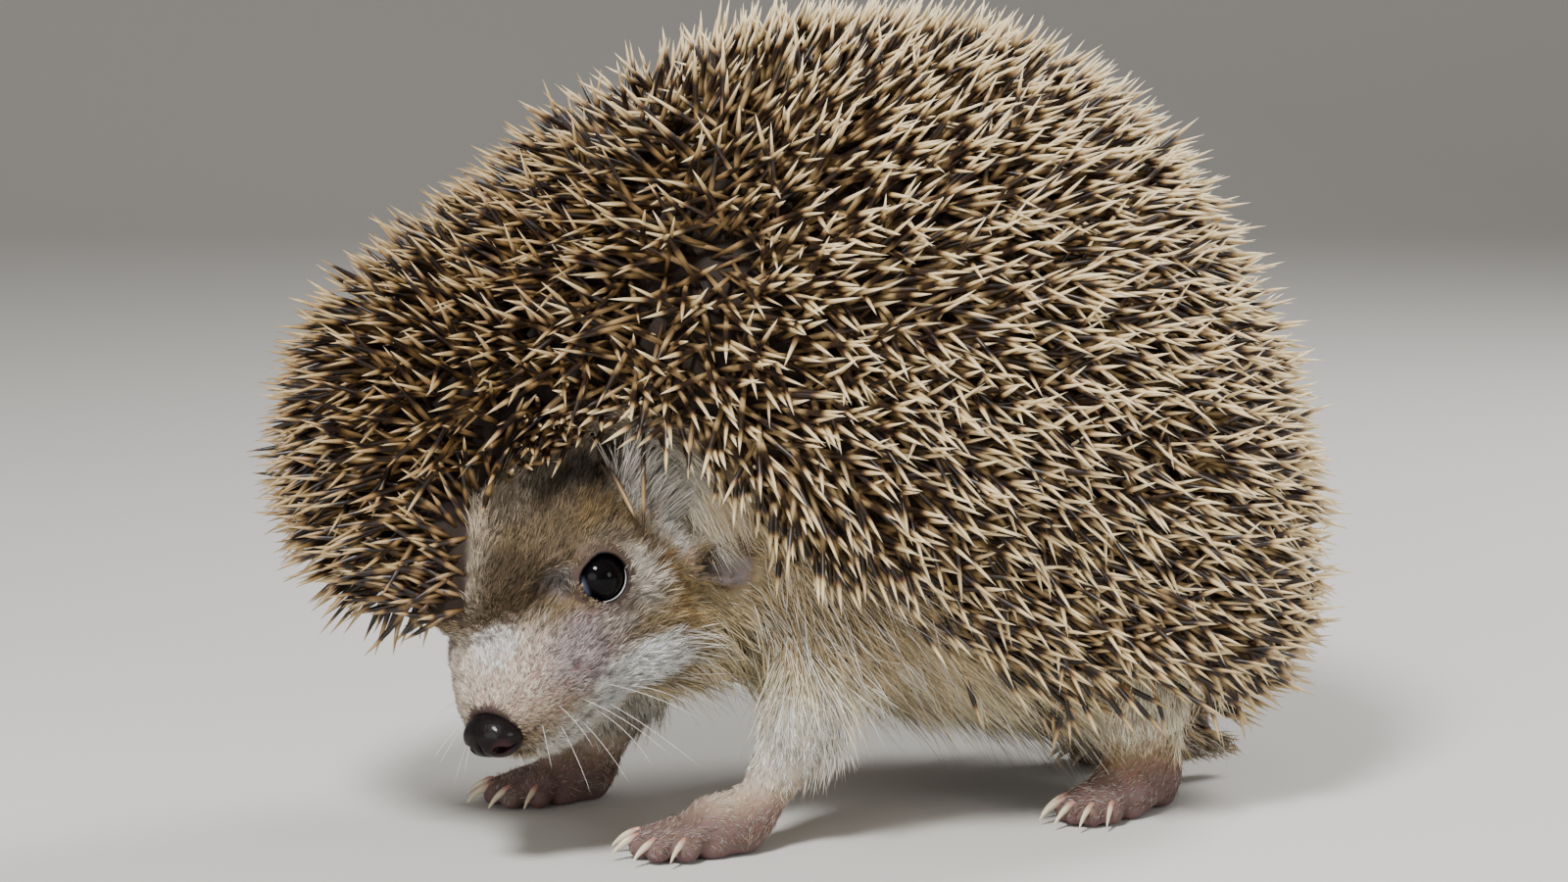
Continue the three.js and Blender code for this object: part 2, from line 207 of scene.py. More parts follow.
def blend(width, *fields):
    """The lower of two fields, less h * h * width / 4 where they come within a width of each other."""
    made = fields[0]
    for field in fields[1:]:
        h = np.maximum(width - np.abs(made - field), 0) / width
        made = np.minimum(made, field) - h * h * width / 4
    return made


def carve(width, field, *hollows):
    """A field with hollows taken out of it, each rim rounded over the width."""
    for hollow in hollows:
        h = np.maximum(width - np.abs(field + hollow), 0) / width
        field = np.maximum(field, -hollow) + h * h * width / 4
    return field


def step(value, low, high):
    """0 below low, 1 above high, and t * t * (3 - 2 * t) between them."""
    t = np.clip((value - low) / (high - low), 0, 1)
    return t * t * (3 - 2 * t)


def to_head(p):
    """Body coordinates seen in the head's own axes."""
    return (p - HEAD_MIDDLE.astype(p.dtype)) @ HEAD_AXES.astype(p.dtype)


def from_head(h):
    return h @ HEAD_AXES.T + HEAD_MIDDLE


def turned(p, place, about_z, about_x=0.0):
    """Coordinates seen from a place that is turned about Z and then about its own X, in degrees."""
    a, b = np.radians([about_z, about_x])
    q = p - np.asarray(place, p.dtype)
    x = q[:, 0] * np.cos(a) + q[:, 1] * np.sin(a)
    y = -q[:, 0] * np.sin(a) + q[:, 1] * np.cos(a)
    return np.column_stack([x, y * np.cos(b) + q[:, 2] * np.sin(b), -y * np.sin(b) + q[:, 2] * np.cos(b)])


GAZE = np.array([0.85, -0.42, 0.32]) / np.linalg.norm([0.85, -0.42, 0.32])  # of the left eye
INNER_CORNER = np.array([-0.57, -0.72, 0.50])  # the way from the left eye's middle to its inner corner
LID_RADIUS = 5.45
LID_OPENING = 3.85
EAR_AT = np.array([22.4, 13.0, -8.8])


def ear_axes():
    """The left ear's axes in the head's coordinates: across the leaf, out of its back, along to its tip."""
    along = np.array([0.18, 0.62, -0.76]) / np.linalg.norm([0.18, 0.62, -0.76])
    outward = np.array([0.86, -0.50, 0.0]) - along * (along @ [0.86, -0.50, 0.0])
    outward /= np.linalg.norm(outward)
    return np.column_stack([np.cross(outward, along), -outward, along])


EAR_AXES = ear_axes()


def lids(h, side):
    """Lids are a thin ball round the eye's, with a round opening that ends in a point at the inner corner."""
    mirror = np.array([side, 1, 1], h.dtype)
    q = h * mirror - np.array([EYE_SPREAD, 0, 0], h.dtype)
    axial = q @ GAZE.astype(h.dtype)
    across = q - axial[:, None] * GAZE.astype(h.dtype)
    corner = INNER_CORNER - GAZE * (INNER_CORNER @ GAZE)
    corner = (corner / np.linalg.norm(corner)).astype(h.dtype)
    toward = np.clip(across @ corner - 0.8, 0, 4.6)
    rounding = np.sqrt(((across - corner * toward[:, None] * 0.42) ** 2).sum(-1))
    opening = np.maximum(rounding - (LID_OPENING - 0.36 * toward), -axial)
    ball = np.sqrt((q**2).sum(-1))
    return ball - LID_RADIUS, opening, ball - EYE_RADIUS - 0.12


def ears(h, side):
    """An ear laid back along the neck: a narrow leaf, 14 long and 7 wide, with a hollow that faces outwards
    and a ridge that runs up from its front edge. Its own Z runs along the leaf to the tip."""
    q = (h * np.array([side, 1, 1], h.dtype) - EAR_AT.astype(h.dtype)) @ EAR_AXES.astype(h.dtype)
    leaf = ellipsoid(q, [0, 0, 0.4], [3.7, 2.1, 7.2])
    hollow = ellipsoid(q, [0.3, -2.1, 0.2], [2.7, 2.5, 5.6])
    notch = ellipsoid(q, [3.4, -1.4, -3.4], [1.8, 2.2, 1.6])
    fold = round_cone(q, [2.4, -0.4, -4.8], 1.0, [0.2, -0.6, -2.4], 0.7)
    stalk = round_cone(q, [-0.5, 1.8, -4.5], 3.2, [-1.0, 5.0, -6.0], 4.5)
    ridge = round_cone(h * np.array([side, 1, 1], h.dtype), [19.0, 10.4, -3.0], 2.5, [13.0, 14.0, 9.5], 2.4)
    return blend(1.6, blend(1.0, carve(0.8, blend(1.8, leaf, stalk), hollow, notch), fold), ridge)


# The skull, cheeks, muzzle and jaw, and then the brow fold, in the head's coordinates: an ellipsoid's middle
# and radii, or a round cone's two ends, each with its radius. Those off the skull's middle are on both sides.
SKULL = [
    ([0, 15, 0], [19, 22, 16]), ([12.5, 13, -7], [10, 13, 11]), ([9.5, 7, -15.5], [11, 14, 10]),
    ([9.2, -8, -8], [6.3, 9, 8]), ([6, -13, -3], [6.2, 7, 5]), ([0, 3, 5], [12, 12, 7]),
    ([0, -1, -8.5], 13.5, [0, -20.2, -9.2], 8.0), ([5, -16, -9.5], [6.5, 7.5, 6.8]),
    ([0, 6, -14], 8, [0, -18, -14.6], 4.6), ([7, 0, -14.5], 8.5, [4.5, -17, -12.8], 5.4),
]
BROW = [
    ([7, -3, 5.5], 3.6, [-2, -11, 4], 4.6), ([-2, -11, 4], 4.6, [-8, -12, 5.0], 5.0),
    ([-2, -6, 9], 6.5, [-9, -5, 12], 9.0), ([-6, -8.5, 7], [10.5, 8.0, 7.0]),
]


def forms(p, rows, both_sides=False):
    """The field of each row: an ellipsoid for two entries and a round cone for four."""
    made = []
    for row in rows:
        for side in (1, -1) if both_sides and row[0][0] else (1,):
            if len(row) == 2:
                made.append(ellipsoid(p, np.multiply(row[0], [side, 1, 1]), row[1]))
            else:
                start, start_radius, end, end_radius = row
                ends = np.multiply([start, end], [side, 1, 1])
                made.append(round_cone(p, ends[0], start_radius, ends[1], end_radius))
    return made


def head_flesh(h):
    """The skull, cheeks, muzzle, jaw and brow fold, as on the solid, inside it by the coat's depth."""
    whole = blend(5, *forms(h, SKULL, True))
    brow = blend(5, *forms(h, BROW))
    coat = FACE_COAT + (CHEEK_COAT - FACE_COAT) * step(h[:, 1], -14, 8)
    field = blend(3.5, whole, brow) + coat
    # The mouth is a slit that runs back from below the nose on both sides, and drops at its corners.
    y = h[:, 1]
    line = -14.2 + 0.9 * step(y, -24, -14) - 2.6 * step(y, -14, -4)
    slit = np.maximum(np.abs(h[:, 2] - line) * 1.2 - 0.25, y + 6)
    field = carve(1.4, field, np.maximum(slit, -(field + 1.0)))
    # The nose pad sits in a shallow dish of bare skin.
    field = carve(1.2, field, ellipsoid(h, NOSE_AT + [0, -0.6, 0.2], [4.2, 3.4, 3.6]))
    for side in (1, -1):
        ball, opening, eye = lids(h, side)
        socket = ellipsoid(h, [side * (EYE_SPREAD + 7.6), -4.3, 3.5], [7, 7, 7])
        corner = ellipsoid(h, [side * (EYE_SPREAD - 2.9), -7.2, 3.6], [3.2, 3.2, 2.8])
        field = carve(2.5, field, socket, corner)
        field = blend(2.2, field, ball)
        field = carve(0.7, field, opening)
        field = carve(0.25, field, eye)
    return field


def head_creases(h):
    """Fine folds of the skin: f = sum of a narrow valley's depth, each along its own line."""
    x, y, z = h.T
    mask = step(-y, 3, 7) * step(z, 1.0, 3.0) * step(-x, -7, -1)
    wander = 1.1 * np.sin(x * 0.45 + 1.0) + 0.8 * np.sin(y * 0.6)
    fold = (np.cos((z - 0.25 * y + 0.25 * x) * 1.1 + wander) ** 6 * 0.16 - 0.04) * mask
    side = step(-y, 2, 6) * step(-z, 1, 4) * step(16 - np.abs(x), 0, 6) * step(24 + y, 0, 4)
    fold = fold + np.sin(y * 1.9 + z * 0.8 + np.abs(x) * 0.7) * 0.035 * side
    return fold


NECK = [
    ([-3, -26, 50], 15, [0, -2, 46], 24), ([4, -25, 37], [17, 18, 14]),
    ([10, -19, 57], [12, 12, 12]), ([-10, -17, 50], [13, 13, 14]),
]
UNDER = [([0, 14, 46], [37, 38, 27]), ([0, 46, 44], [38, 42, 31])]
BACK = [
    ([0, 13, 77], [52, 71, 59.5]), ([0, 54, 52], [45, 42, 43]), ([0, 58, 34], [40, 36, 32]),
    ([-11, -50, 64.5], [31, 33, 30]), ([-11, -54, 50], [25, 21, 15]),
]


def neck_and_trunk(p):
    """The neck, and the flanks and belly, inside their solids by the coat's depth."""
    return blend(5, blend(8, *forms(p, NECK)) + NECK_COAT, blend(14, *forms(p, UNDER)) + BODY_COAT)


# The edge of the mantle, seen from the side: distance behind the withers and height above the floor.
HEM_BEHIND = np.array([-110, -62, -46, -35, -26, -14, -2, 6, 22, 43, 60, 74, 110], float)
HEM_HEIGHT = np.array([44, 44, 67, 70, 64, 58, 50, 42, 31, 21, 15, 11, 10], float)


def mantle(p):
    """The spined skin: the solid's balls, less the spines' depth, ended at the hem and round the face."""
    back = blend(20, *forms(p, BACK))
    nape = round_cone(p, [-6, -20, 88], 21, [-9, -52, 72], 17)
    field = blend(8, back + SPINE_COAT, nape)
    hem = np.interp(p[:, 1], HEM_BEHIND, HEM_HEIGHT).astype(p.dtype) - p[:, 2]
    hem = hem - 14 * step(-p[:, 0], -6, 12) * step(-p[:, 1], 10, 30) * step(p[:, 1], -66, -50)
    field = carve(9, field, -hem * 0.85)
    open_side = ellipsoid(p, [33, -42, 38], [27, 29, 33])
    face = ellipsoid(to_head(p), [-5, -6, -10], [25, 23, 22])
    return carve(6, field, open_side - 2, face + 1)


# Each leg runs from its top to its bend to its end, above its foot, with a radius at each.
LEGS = [
    dict(foot="forefoot_left", top=[19, 1, 36], bend=[20, -5.5, 20], end=[19, -13, 7], radii=[9.5, 7.6, 5.2]),
    dict(foot="forefoot_right", top=[-19, -12, 36], bend=[-25, -18, 20], end=[-28, -23, 7],
         radii=[9.5, 7.6, 5.2]),
    dict(foot="hindfoot_left", top=[20, 46, 36], bend=[20, 55, 18], end=[17, 61, 8], radii=[14, 9.5, 6]),
    dict(foot="hindfoot_right", top=[-18, 58, 34], bend=[-18, 72, 18], end=[-17, 86, 8], radii=[14, 9, 5.8]),
]
# Where each foot's palm stands, and how far it is turned, in degrees.
STANDS = {
    "forefoot_left": ([18.5, -20.5, 0], -4),
    "forefoot_right": ([-28, -29, 0], 0),
    "hindfoot_left": ([20.5, 53, 0], 22),
    "hindfoot_right": ([-17, 78, 0], 0),
}
# How far each toe reaches, the degrees from toe to toe, and how far the heel lies behind the palm.
FORE = dict(reach=[9, 11.8, 12.6, 11.8, 8.6], fan=20, heel=4)
HIND = dict(reach=[9, 11.5, 12.3, 11.5, 9], fan=15, heel=9)


def foot(p, name):
    """A palm with its heel, five toes with knuckles, and a soft pad under each toe and under the palm."""
    kind = FORE if name.startswith("fore") else HIND
    heel = kind["heel"]
    q = turned(p, *STANDS[name])
    palm = blend(3, *forms(q, [([0, 1, 4], [6, 7, 4.8]), ([0, 1, 4.8], 4.6, [0, heel, 5], 4.6)])) + FOOT_COAT
    pads = [([2.6, -1.5, 1.6], [2.6, 2.8, 2.2]), ([0, heel + 0.5, 1.8], [3.4, 3.0, 2.4])]
    pads = blend(1.5, *forms(q, pads, True))
    toes = []
    for i, reach in enumerate(kind["reach"]):
        angle = np.radians((i - 2) * kind["fan"])
        way = np.array([np.sin(angle), -np.cos(angle), 0])
        root, tip = np.array([4.2 * np.sin(angle), -2, 3.9]), way * reach + [0, 0, 2.5]
        knuckle = root + (tip - root) * 0.55 + [0, 0, 0.5]
        pad = tip + [0, 0, -0.9] - way * 0.3
        toe = [(root, 2.0, knuckle, 1.55), (knuckle, 1.5, tip, 1.45), (pad, [1.55, 1.9, 1.5])]
        toes.append(blend(1.2, *forms(q, toe)))
    webbed = blend(1.6, palm, pads, *toes)
    return carve(0.5, webbed, q[:, 2])


def legs(p):
    """The four legs with their feet, each as a field of its own."""
    fields = []
    for leg in LEGS:
        top, bend, end = (np.array(leg[k], float) for k in ("top", "bend", "end"))
        a, b, c = leg["radii"]
        limb = blend(4, round_cone(p, top, a, bend, b), round_cone(p, bend, b, end, c)) + LEG_COAT
        fields.append(blend(4, limb, foot(p, leg["foot"])))
    return fields


TAIL = ([0, 66, 9], 4.5, [0, 85, 5.5], 2.2)


def flesh(p):
    """Everything that grows fur: head, ears, neck, flanks, belly and tail."""
    h = to_head(p)
    head = blend(1.5, head_flesh(h), ears(h, 1), ears(h, -1)) + head_creases(h)
    tail = round_cone(p, *TAIL) + 0.8
    return blend(4, head, neck_and_trunk(p), tail)


def skin(p):
    """The whole surface of the skin."""
    return blend(5, blend(9, flesh(p), mantle(p)), *legs(p))


def in_parts(field, points, size=400_000):
    """A field worked out for many points, a part at a time."""
    return np.concatenate([field(points[i : i + size]) for i in range(0, len(points), size)])


def grid_surface(field, low, high, pitch):
    """The field on a grid of points, and the surface where it is zero, as corners and triangles."""
    axes = [np.arange(a, b + pitch, pitch, dtype=np.float32) for a, b in zip(low, high)]
    points = np.stack(np.meshgrid(*axes, indexing="ij"), -1).reshape(-1, 3)
    values = in_parts(field, points).reshape([len(a) for a in axes]).astype(np.float32)
    grid = openvdb.FloatGrid(float(values.max()))
    grid.copyFromArray(values)
    corners, quads = grid.convertToQuads(isovalue=0)
    corners = corners * pitch + np.array([a[0] for a in axes])
    return corners, np.concatenate([quads[:, [0, 1, 2]], quads[:, [0, 2, 3]]])


def slope(field, p, reach=0.05):
    """The field and its rate of change along X, Y and Z."""
    moved = [field(p + shift) - field(p - shift) for shift in np.eye(3) * reach]
    return field(p), np.column_stack(moved) / (2 * reach)


def settle(field, p, rounds=2):
    """Moves each point along the slope to where the field is zero: p - f * g / |g|^2, at most 0.6 a round."""
    for _ in range(rounds):
        value, way = slope(field, p)
        shift = value[:, None] * way / np.maximum((way**2).sum(-1), 0.05)[:, None]
        length = np.sqrt((shift**2).sum(-1))[:, None]
        p = p - shift * np.minimum(1, 0.6 / np.maximum(length, 1e-9))
    return p


def edges_of(triangles):
    """Each edge once, as its two corners, and for each triangle the numbers of its three edges."""
    pairs = np.sort(np.concatenate([triangles[:, [0, 1]], triangles[:, [1, 2]], triangles[:, [2, 0]]]), 1)
    base = pairs.max() + 1
    key, numbers = np.unique(pairs[:, 0].astype(np.int64) * base + pairs[:, 1], return_inverse=True)
    return np.column_stack(np.divmod(key, base)), numbers.reshape(3, -1).T


def split_long(p, triangles, size_at):
    """Puts a corner in the middle of every edge longer than size_at there, and parts its triangles."""
    edges, of = edges_of(triangles)
    ends = p[edges]
    middle = ends.mean(1)
    long = np.sqrt(((ends[:, 0] - ends[:, 1]) ** 2).sum(-1)) > size_at(middle)
    number = np.full(len(edges), -1)
    number[long] = len(p) + np.arange(long.sum())
    cuts = number[of]
    many = (cuts >= 0).sum(1)
    made = [triangles[many == 0]]
    for i in range(3):
        a, b, c = (triangles[:, (i + k) % 3] for k in range(3))
        ab, bc, ca = (cuts[:, (i + k) % 3] for k in range(3))
        one = (many == 1) & (ab >= 0)
        made += [np.column_stack(t)[one] for t in ((a, ab, c), (ab, b, c))]
        two = (many == 2) & (ca < 0)
        made += [np.column_stack(t)[two] for t in ((a, ab, c), (ab, b, bc), (ab, bc, c))]
    a, b, c = triangles[many == 3].T
    ab, bc, ca = cuts[many == 3].T
    made += [np.column_stack(t) for t in ((a, ab, ca), (ab, b, bc), (ca, bc, c), (ab, bc, ca))]
    return np.concatenate([p, middle[long]]), np.concatenate(made)


def even_out(p, triangles, share=0.5):
    """Moves each corner part of the way to the mean of its neighbours."""
    edges, _ = edges_of(triangles)
    total, count = np.zeros_like(p), np.zeros(len(p))
    for a, b in (edges.T, edges.T[::-1]):
        np.add.at(total, a, p[b])
        np.add.at(count, a, 1)
    return p + (total / np.maximum(count, 1)[:, None] - p) * share


def fineness(p):
    """How long an edge may be: finest at the eyes, fine on face, ears and feet, coarse under the spines."""
    h = to_head(p)
    size = np.full(len(p), 2.2)
    bare = flesh(p) < mantle(p) + 2
    size[bare] = 1.5
    head = (ellipsoid(h, [0, -4, -5], [21, 27, 20]) < 0) & bare
    size[head] = 0.75
    for side in (1, -1):
        mirrored = h * [side, 1, 1]
        size[(ellipsoid(mirrored, [23, 16, -7], [9, 9, 9]) < 0) & bare] = 0.7
        size[np.linalg.norm(mirrored - [EYE_SPREAD + 1, -2, 0], axis=1) < 6.5] = 0.36
    size[np.linalg.norm(h - NOSE_AT, axis=1) < 7] = 0.5
    size[p[:, 2] < 11] = 0.8
    return size


def build_skin():
    """The skin's corners and triangles: a grid's surface, evened out, then split where it has to be finer."""
    low, high = (np.array(corner) / MM - WITHERS for corner in cad_box)
    p, triangles = grid_surface(skin, (low - 3).astype(np.float32), (high + 3).astype(np.float32), 1.3)
    p = p.astype(float)
    for _ in range(2):
        p = settle(skin, even_out(p, triangles), 1)
    for _ in range(3):
        p, triangles = split_long(p, triangles, fineness)
        p = settle(skin, even_out(p, triangles, 0.3), 1)
    return settle(skin, p), triangles


def mesh_of(name, p, faces, material):
    """A piece from corners in body millimetres and faces with equal numbers of corners."""
    mesh = bpy.data.meshes.new(name)
    mesh.vertices.add(len(p))
    mesh.vertices.foreach_set("co", ((p + WITHERS) * MM).astype(np.float32).ravel())
    count = faces.shape[1]
    mesh.loops.add(faces.size)
    mesh.polygons.add(len(faces))
    mesh.polygons.foreach_set("loop_start", np.arange(0, faces.size, count, dtype=np.int32))
    mesh.polygons.foreach_set("vertices", faces.astype(np.int32).ravel())
    mesh.update()
    mesh.validate()
    mesh.shade_smooth()
    mesh.materials.append(material)
    piece = bpy.data.objects.new(name, mesh)
    bpy.context.collection.objects.link(piece)
    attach(piece, "root")
    return piece


skin_points, skin_triangles = build_skin()


def corner_normals(p, triangles):
    """At each corner, the mean of its triangles' normals, each weighed by its area."""
    flat = np.cross(p[triangles[:, 1]] - p[triangles[:, 0]], p[triangles[:, 2]] - p[triangles[:, 0]])
    total = np.zeros_like(p)
    for i in range(3):
        np.add.at(total, triangles[:, i], flat)
    return total / np.maximum(np.linalg.norm(total, axis=1), 1e-12)[:, None]


skin_normals = corner_normals(skin_points, skin_triangles)


def unit(v):
    return v / np.maximum(np.linalg.norm(v, axis=1), 1e-9)[:, None]


def colour(*srgb):
    """A colour of 0 to 255 as a screen shows it, as shares of light: ((c + 0.055) / 1.055) ^ 2.4."""
    c = np.array(srgb, float) / 255
    return np.where(c < 0.04045, c / 12.92, ((c + 0.055) / 1.055) ** 2.4)


def wander(p, scale, seed=0.0):
    """A smooth irregular number near 0: a sum of sines along slanted directions."""
    q = p / scale + seed
    x, y, z = q.T
    return (np.sin(x * 1.7 + 1.3 * np.sin(y * 1.1)) + np.sin(y * 2.1 + 1.1 * np.sin(z * 1.3 + 2)) +
            np.sin(z * 1.9 + 1.2 * np.sin(x * 1.5 + 1)) + 0.5 * np.sin(3.7 * x + 2.9 * y - 3.3 * z)) / 3.5


def zone(p, centre, radii, soft=0.35):
    """How far a place is in an oval zone, 0 to 1, with an irregular rim."""
    reach = np.sqrt((((p - centre) / radii) ** 2).sum(1)) + 0.14 * wander(p, 2.2)
    return 1 - step(reach, 1 - soft, 1 + soft)


def streak(p, line, radius, soft):
    """1 within a radius of a line of places, and 0 beyond it by the soft width, with an irregular rim."""
    away = np.min([round_cone(p, a, radius, b, radius) for a, b in zip(line, line[1:])], axis=0)
    return 1 - step(away + 0.5 * wander(p, 1.3), 0, soft)


GOLD = colour(208, 186, 146)
CREAM = colour(238, 220, 178)
WHITE = colour(250, 246, 236)
GREY = colour(176, 168, 156)
# The face's zones in the head's coordinates, for the left side and mirrored: colour, middle, reach, softness.
FACE = [
    (colour(84, 76, 66), [3, 9, 15], [16, 12, 8], 0.5),
    (colour(126, 108, 84), [8, 0, 7], [11, 9, 6], 0.5),
    (colour(92, 77, 57), [0, -12, 8], [11, 6.5, 6.5], 0.4),
    (colour(130, 108, 74), [12, 5, 7], [8, 4, 3.2], 0.5),
    (colour(134, 120, 100), [12.4, 2, 4], [5, 4, 3], 0.5),
    (colour(206, 196, 182), [15.2, 3.6, -3.5], [4.6, 4.4, 5.5], 0.5),
    (colour(218, 200, 182), [3, -19, -3], [9, 8, 6], 0.5),
    (colour(238, 234, 226), [0, -17, 0], [4.0, 4, 3], 0.5),
    (colour(184, 168, 166), [11.5, -13, -5], [4.5, 7, 6], 0.5),
    (colour(146, 137, 130), [7.0, -5, 3.4], [3.4, 3.4, 2.8], 0.4),
    (colour(188, 175, 164), [13, -4.5, -5.5], [5, 4, 3.5], 0.5),
    (colour(226, 219, 206), [9, -14, -15], [9, 12, 4.8], 0.4),
    (colour(206, 182, 136), [19.0, 6.0, -15], [4, 4.5, 9], 0.5),
    (colour(192, 178, 150), [0, -4, -21], [13, 16, 4], 0.4),
    (colour(208, 202, 192), [19.6, 10.3, 0.5], [3.4, 3.2, 4.5], 0.5),
    (colour(182, 176, 166), [15.6, 12.0, 8.2], [3.4, 3.4, 5], 0.5),
    (colour(232, 224, 206), [19, 18.5, -1], [6.5, 6.5, 13], 0.4),
]
# A brown line runs from the forehead round behind the eye and turns rusty on its way down the cheek, and a
# white streak runs back along the cheek above the jaw: colour, places, radius, softness and strength.
STREAKS = [
    (colour(124, 104, 76), [[9.5, 7, 10.3], [15.5, 7.5, 4.5], [18, 7, -3.5]], 0.9, 1.6, 0.8),
    (colour(150, 120, 78), [[18, 7, -3.5], [18.6, 6.0, -8.5], [17.6, 2.8, -17.5]], 0.7, 1.8, 0.9),
    (colour(255, 253, 246), [[12.2, -11.0, -13.0], [14.2, -5.6, -14.8], [16.4, -0.8, -17.0]], 3.0, 2.6, 1.0),
]


def sides(h):
    """Head coordinates with the right side laid over the left."""
    return np.column_stack([np.abs(h[:, 0]), h[:, 1:]])


def past_body(p):
    """How much farther out the nearest leg's surface lies than the body's: positive on a leg."""
    return flesh(p) - np.min(legs(p), axis=0)


def markings_light_and_shade(p):
    """The colour of the animal at each place, as the fur's outer part shows it, with painted shade under the
    belly and, in part, on the feet, and painted light under the hood's edge and behind the ear.
    """
    h = to_head(p)
    shade = np.tile(GOLD, (len(p), 1))

    def lay(tone, share):
        nonlocal shade
        shade = shade + (np.asarray(tone) - shade) * share[:, None]

    lay(CREAM, step(38 - p[:, 2] + 5 * wander(p, 9), -3, 10))
    # Painted shade: the fur low on the flank and under the belly, below about 26 mm, is darkened where the
    # body shades it.
    lay(colour(112, 98, 74), step(26 - p[:, 2] + 4 * wander(p, 9), -3, 8))
    lay(CREAM, zone(p, [24, -22, 38], [12, 12, 14], 0.6) * 0.6)
    lay(colour(166, 126, 80), zone(p, [33, -24, 55], [10, 10, 8], 0.6) * 0.5)
    lay(GREY, zone(p, [24, -32, 60], [14, 12, 8], 0.5))
    lay(colour(164, 144, 110), zone(p, [24, -4, 39], [11, 12, 10], 0.6) * 0.8)
    # Behind and below the ear the fur is pale: partly its own pale colour, partly painted light against the
    # hood's shadow.
    lay(colour(224, 200, 158), zone(sides(h), [24, 19, -4], [10, 10, 14], 0.5))
    lay(colour(182, 132, 78), zone(p, [26, -17, 52], [5, 6, 7], 0.6) * 0.6)
    face = head_share(p)
    lay(colour(152, 132, 100), face)
    for tone, centre, reach, soft in FACE:
        lay(tone, zone(sides(h), centre, reach, soft) * face)
    lay(colour(226, 214, 190), zone(sides(h), [21, 14, -2], [3.5, 3, 5], 0.5))
    # At the hairline under the hood the fur is lightened: partly its own greyish colour, partly painted light
    # against the hood's shadow.
    lay(colour(186, 170, 148), step(hairline(h), -7, -2) * step(h[:, 2], 4, 9) * face)
    for tone, line, radius, soft, strength in STREAKS:
        lay(tone, streak(sides(h), line, radius, soft) * face * strength)
    limb = (step(past_body(p) + 2.0 * wander(p, 3), -3, 5) * (1 - step(p[:, 2], 27, 34)))[:, None]
    upper = step(p[:, 2] + 2 * wander(p, 4), 6, 18)[:, None]
    fore = colour(240, 212, 186) * (1 - upper) + colour(255, 246, 226) * upper
    hind = colour(186, 152, 114) * (1 - upper) + colour(244, 228, 196) * upper
    shade = shade + (np.where(p[:, 1:2] < 25, fore, hind) - shade) * limb
    # The feet are darker than the legs, the hind feet most: partly their own colour, partly painted shade low
    # down by the floor and under the body.
    hind_foot = step(p[:, 1], 20, 30)[:, None]
    feet = step(11.5 - p[:, 2] + 1.2 * wander(p, 3), 0, 7)[:, None]
    shade = shade + (colour(172, 144, 124) * (1 - hind_foot) + colour(124, 98, 80) * hind_foot - shade) * feet
    tail = 1 - step(round_cone(p, *TAIL), 0.5, 2.0)
    lay(colour(160, 142, 112), tail)
    return shade


def bare_skin(p):
    """The skin's colour where little or no hair covers it, and how bare it is there: its own colour, with
    painted shade in the ear's hollow and, in part, on the feet.
    """
    h = to_head(p)
    bare, tone = np.zeros(len(p)), np.tile(colour(150, 112, 100), (len(p), 1))

    def lay(colour_there, share):
        nonlocal bare, tone
        tone = tone + (np.asarray(colour_there) - tone) * share[:, None]
        bare = np.maximum(bare, share)

    lay(colour(166, 138, 126), zone(sides(h), [3.5, -20, -6], [9, 9, 8], 0.4) * 0.9)
    lay(colour(128, 98, 98), zone(sides(h), [11, -11, -6], [6, 8, 7], 0.4) * 0.9)
    lay(colour(128, 121, 117), zone(sides(h), [7, -5, 3.4], [3, 3.2, 2.6], 0.4))
    eye = np.linalg.norm(sides(h) - [EYE_SPREAD, 0, 0], axis=1)
    lay(colour(64, 54, 47), (1 - step(eye, 5.7, 6.8)) * 0.9)
    lay(colour(26, 21, 21), (1 - step(lids(sides(h), 1)[1], 0.1, 0.55)) * (1 - step(eye, 5.6, 6.2)))
    leaf = (sides(h) - EAR_AT) @ EAR_AXES
    lay(colour(132, 121, 118), zone(leaf, [0, -0.4, 0.8], [3.9, 2.6, 7.4], 0.15))
    # Painted shade: the lower part of the ear's hollow is darkened where it lies in shade.
    lay(colour(60, 50, 48), zone(leaf, [0.4, -1.0, -2.0], [2.2, 2.6, 3.2], 0.5))
    lay(colour(74, 60, 56), 1 - step(np.linalg.norm(h - NOSE_AT, axis=1), 4.7, 6.2))
    # The bare skin of the feet is darker: partly its own colour, partly painted shade low down by the floor.
    lay(colour(114, 92, 88), step(11 - p[:, 2] + 1.2 * wander(p, 3), 0, 6))
    lay(colour(112, 84, 84), step(1.6 - p[:, 2], 0, 1.2))
    return tone, bare


def head_share(p):
    """1 on the head and ears, 0 on the neck and behind, and between them where one passes into the other."""
    h = to_head(p)
    return step(neck_and_trunk(p) - np.minimum(head_flesh(h), np.minimum(ears(h, 1), ears(h, -1))), -2, 3)


def hairline(h):
    """How far past the line where the face's fur ends and the spines start, negative on the face."""
    return ellipsoid(h, [15, -4, -2], [24.2, 31, 29])


def mantle_share(p):
    """1 where the skin bears spines: the mantle above its hem, less the legs, and the front of the brow."""
    h = to_head(p)
    across = h @ [0.85, 0.385, -0.36]
    brow = step(-9.5 - across, 0, 2) * step(h[:, 2], 4.5, 7) * step(-h[:, 1], -24, -18)
    limbs = step(past_body(p), -4, -1) * step(-p[:, 2], -31, -25)
    behind = step(p[:, 1], -6, 12)
    over_hem = step(p[:, 2] - np.interp(p[:, 1], HEM_BEHIND, HEM_HEIGHT) + 1.5 * wander(p, 6), -2, 2)
    edge = step(flesh(p) - mantle(p), -1.0, 1.5)
    back = (edge + (over_hem - edge) * behind) * step(p[:, 2], 10, 14) * (1 - limbs)
    return np.maximum(back * step(hairline(h), -0.8, 0.8), brow)


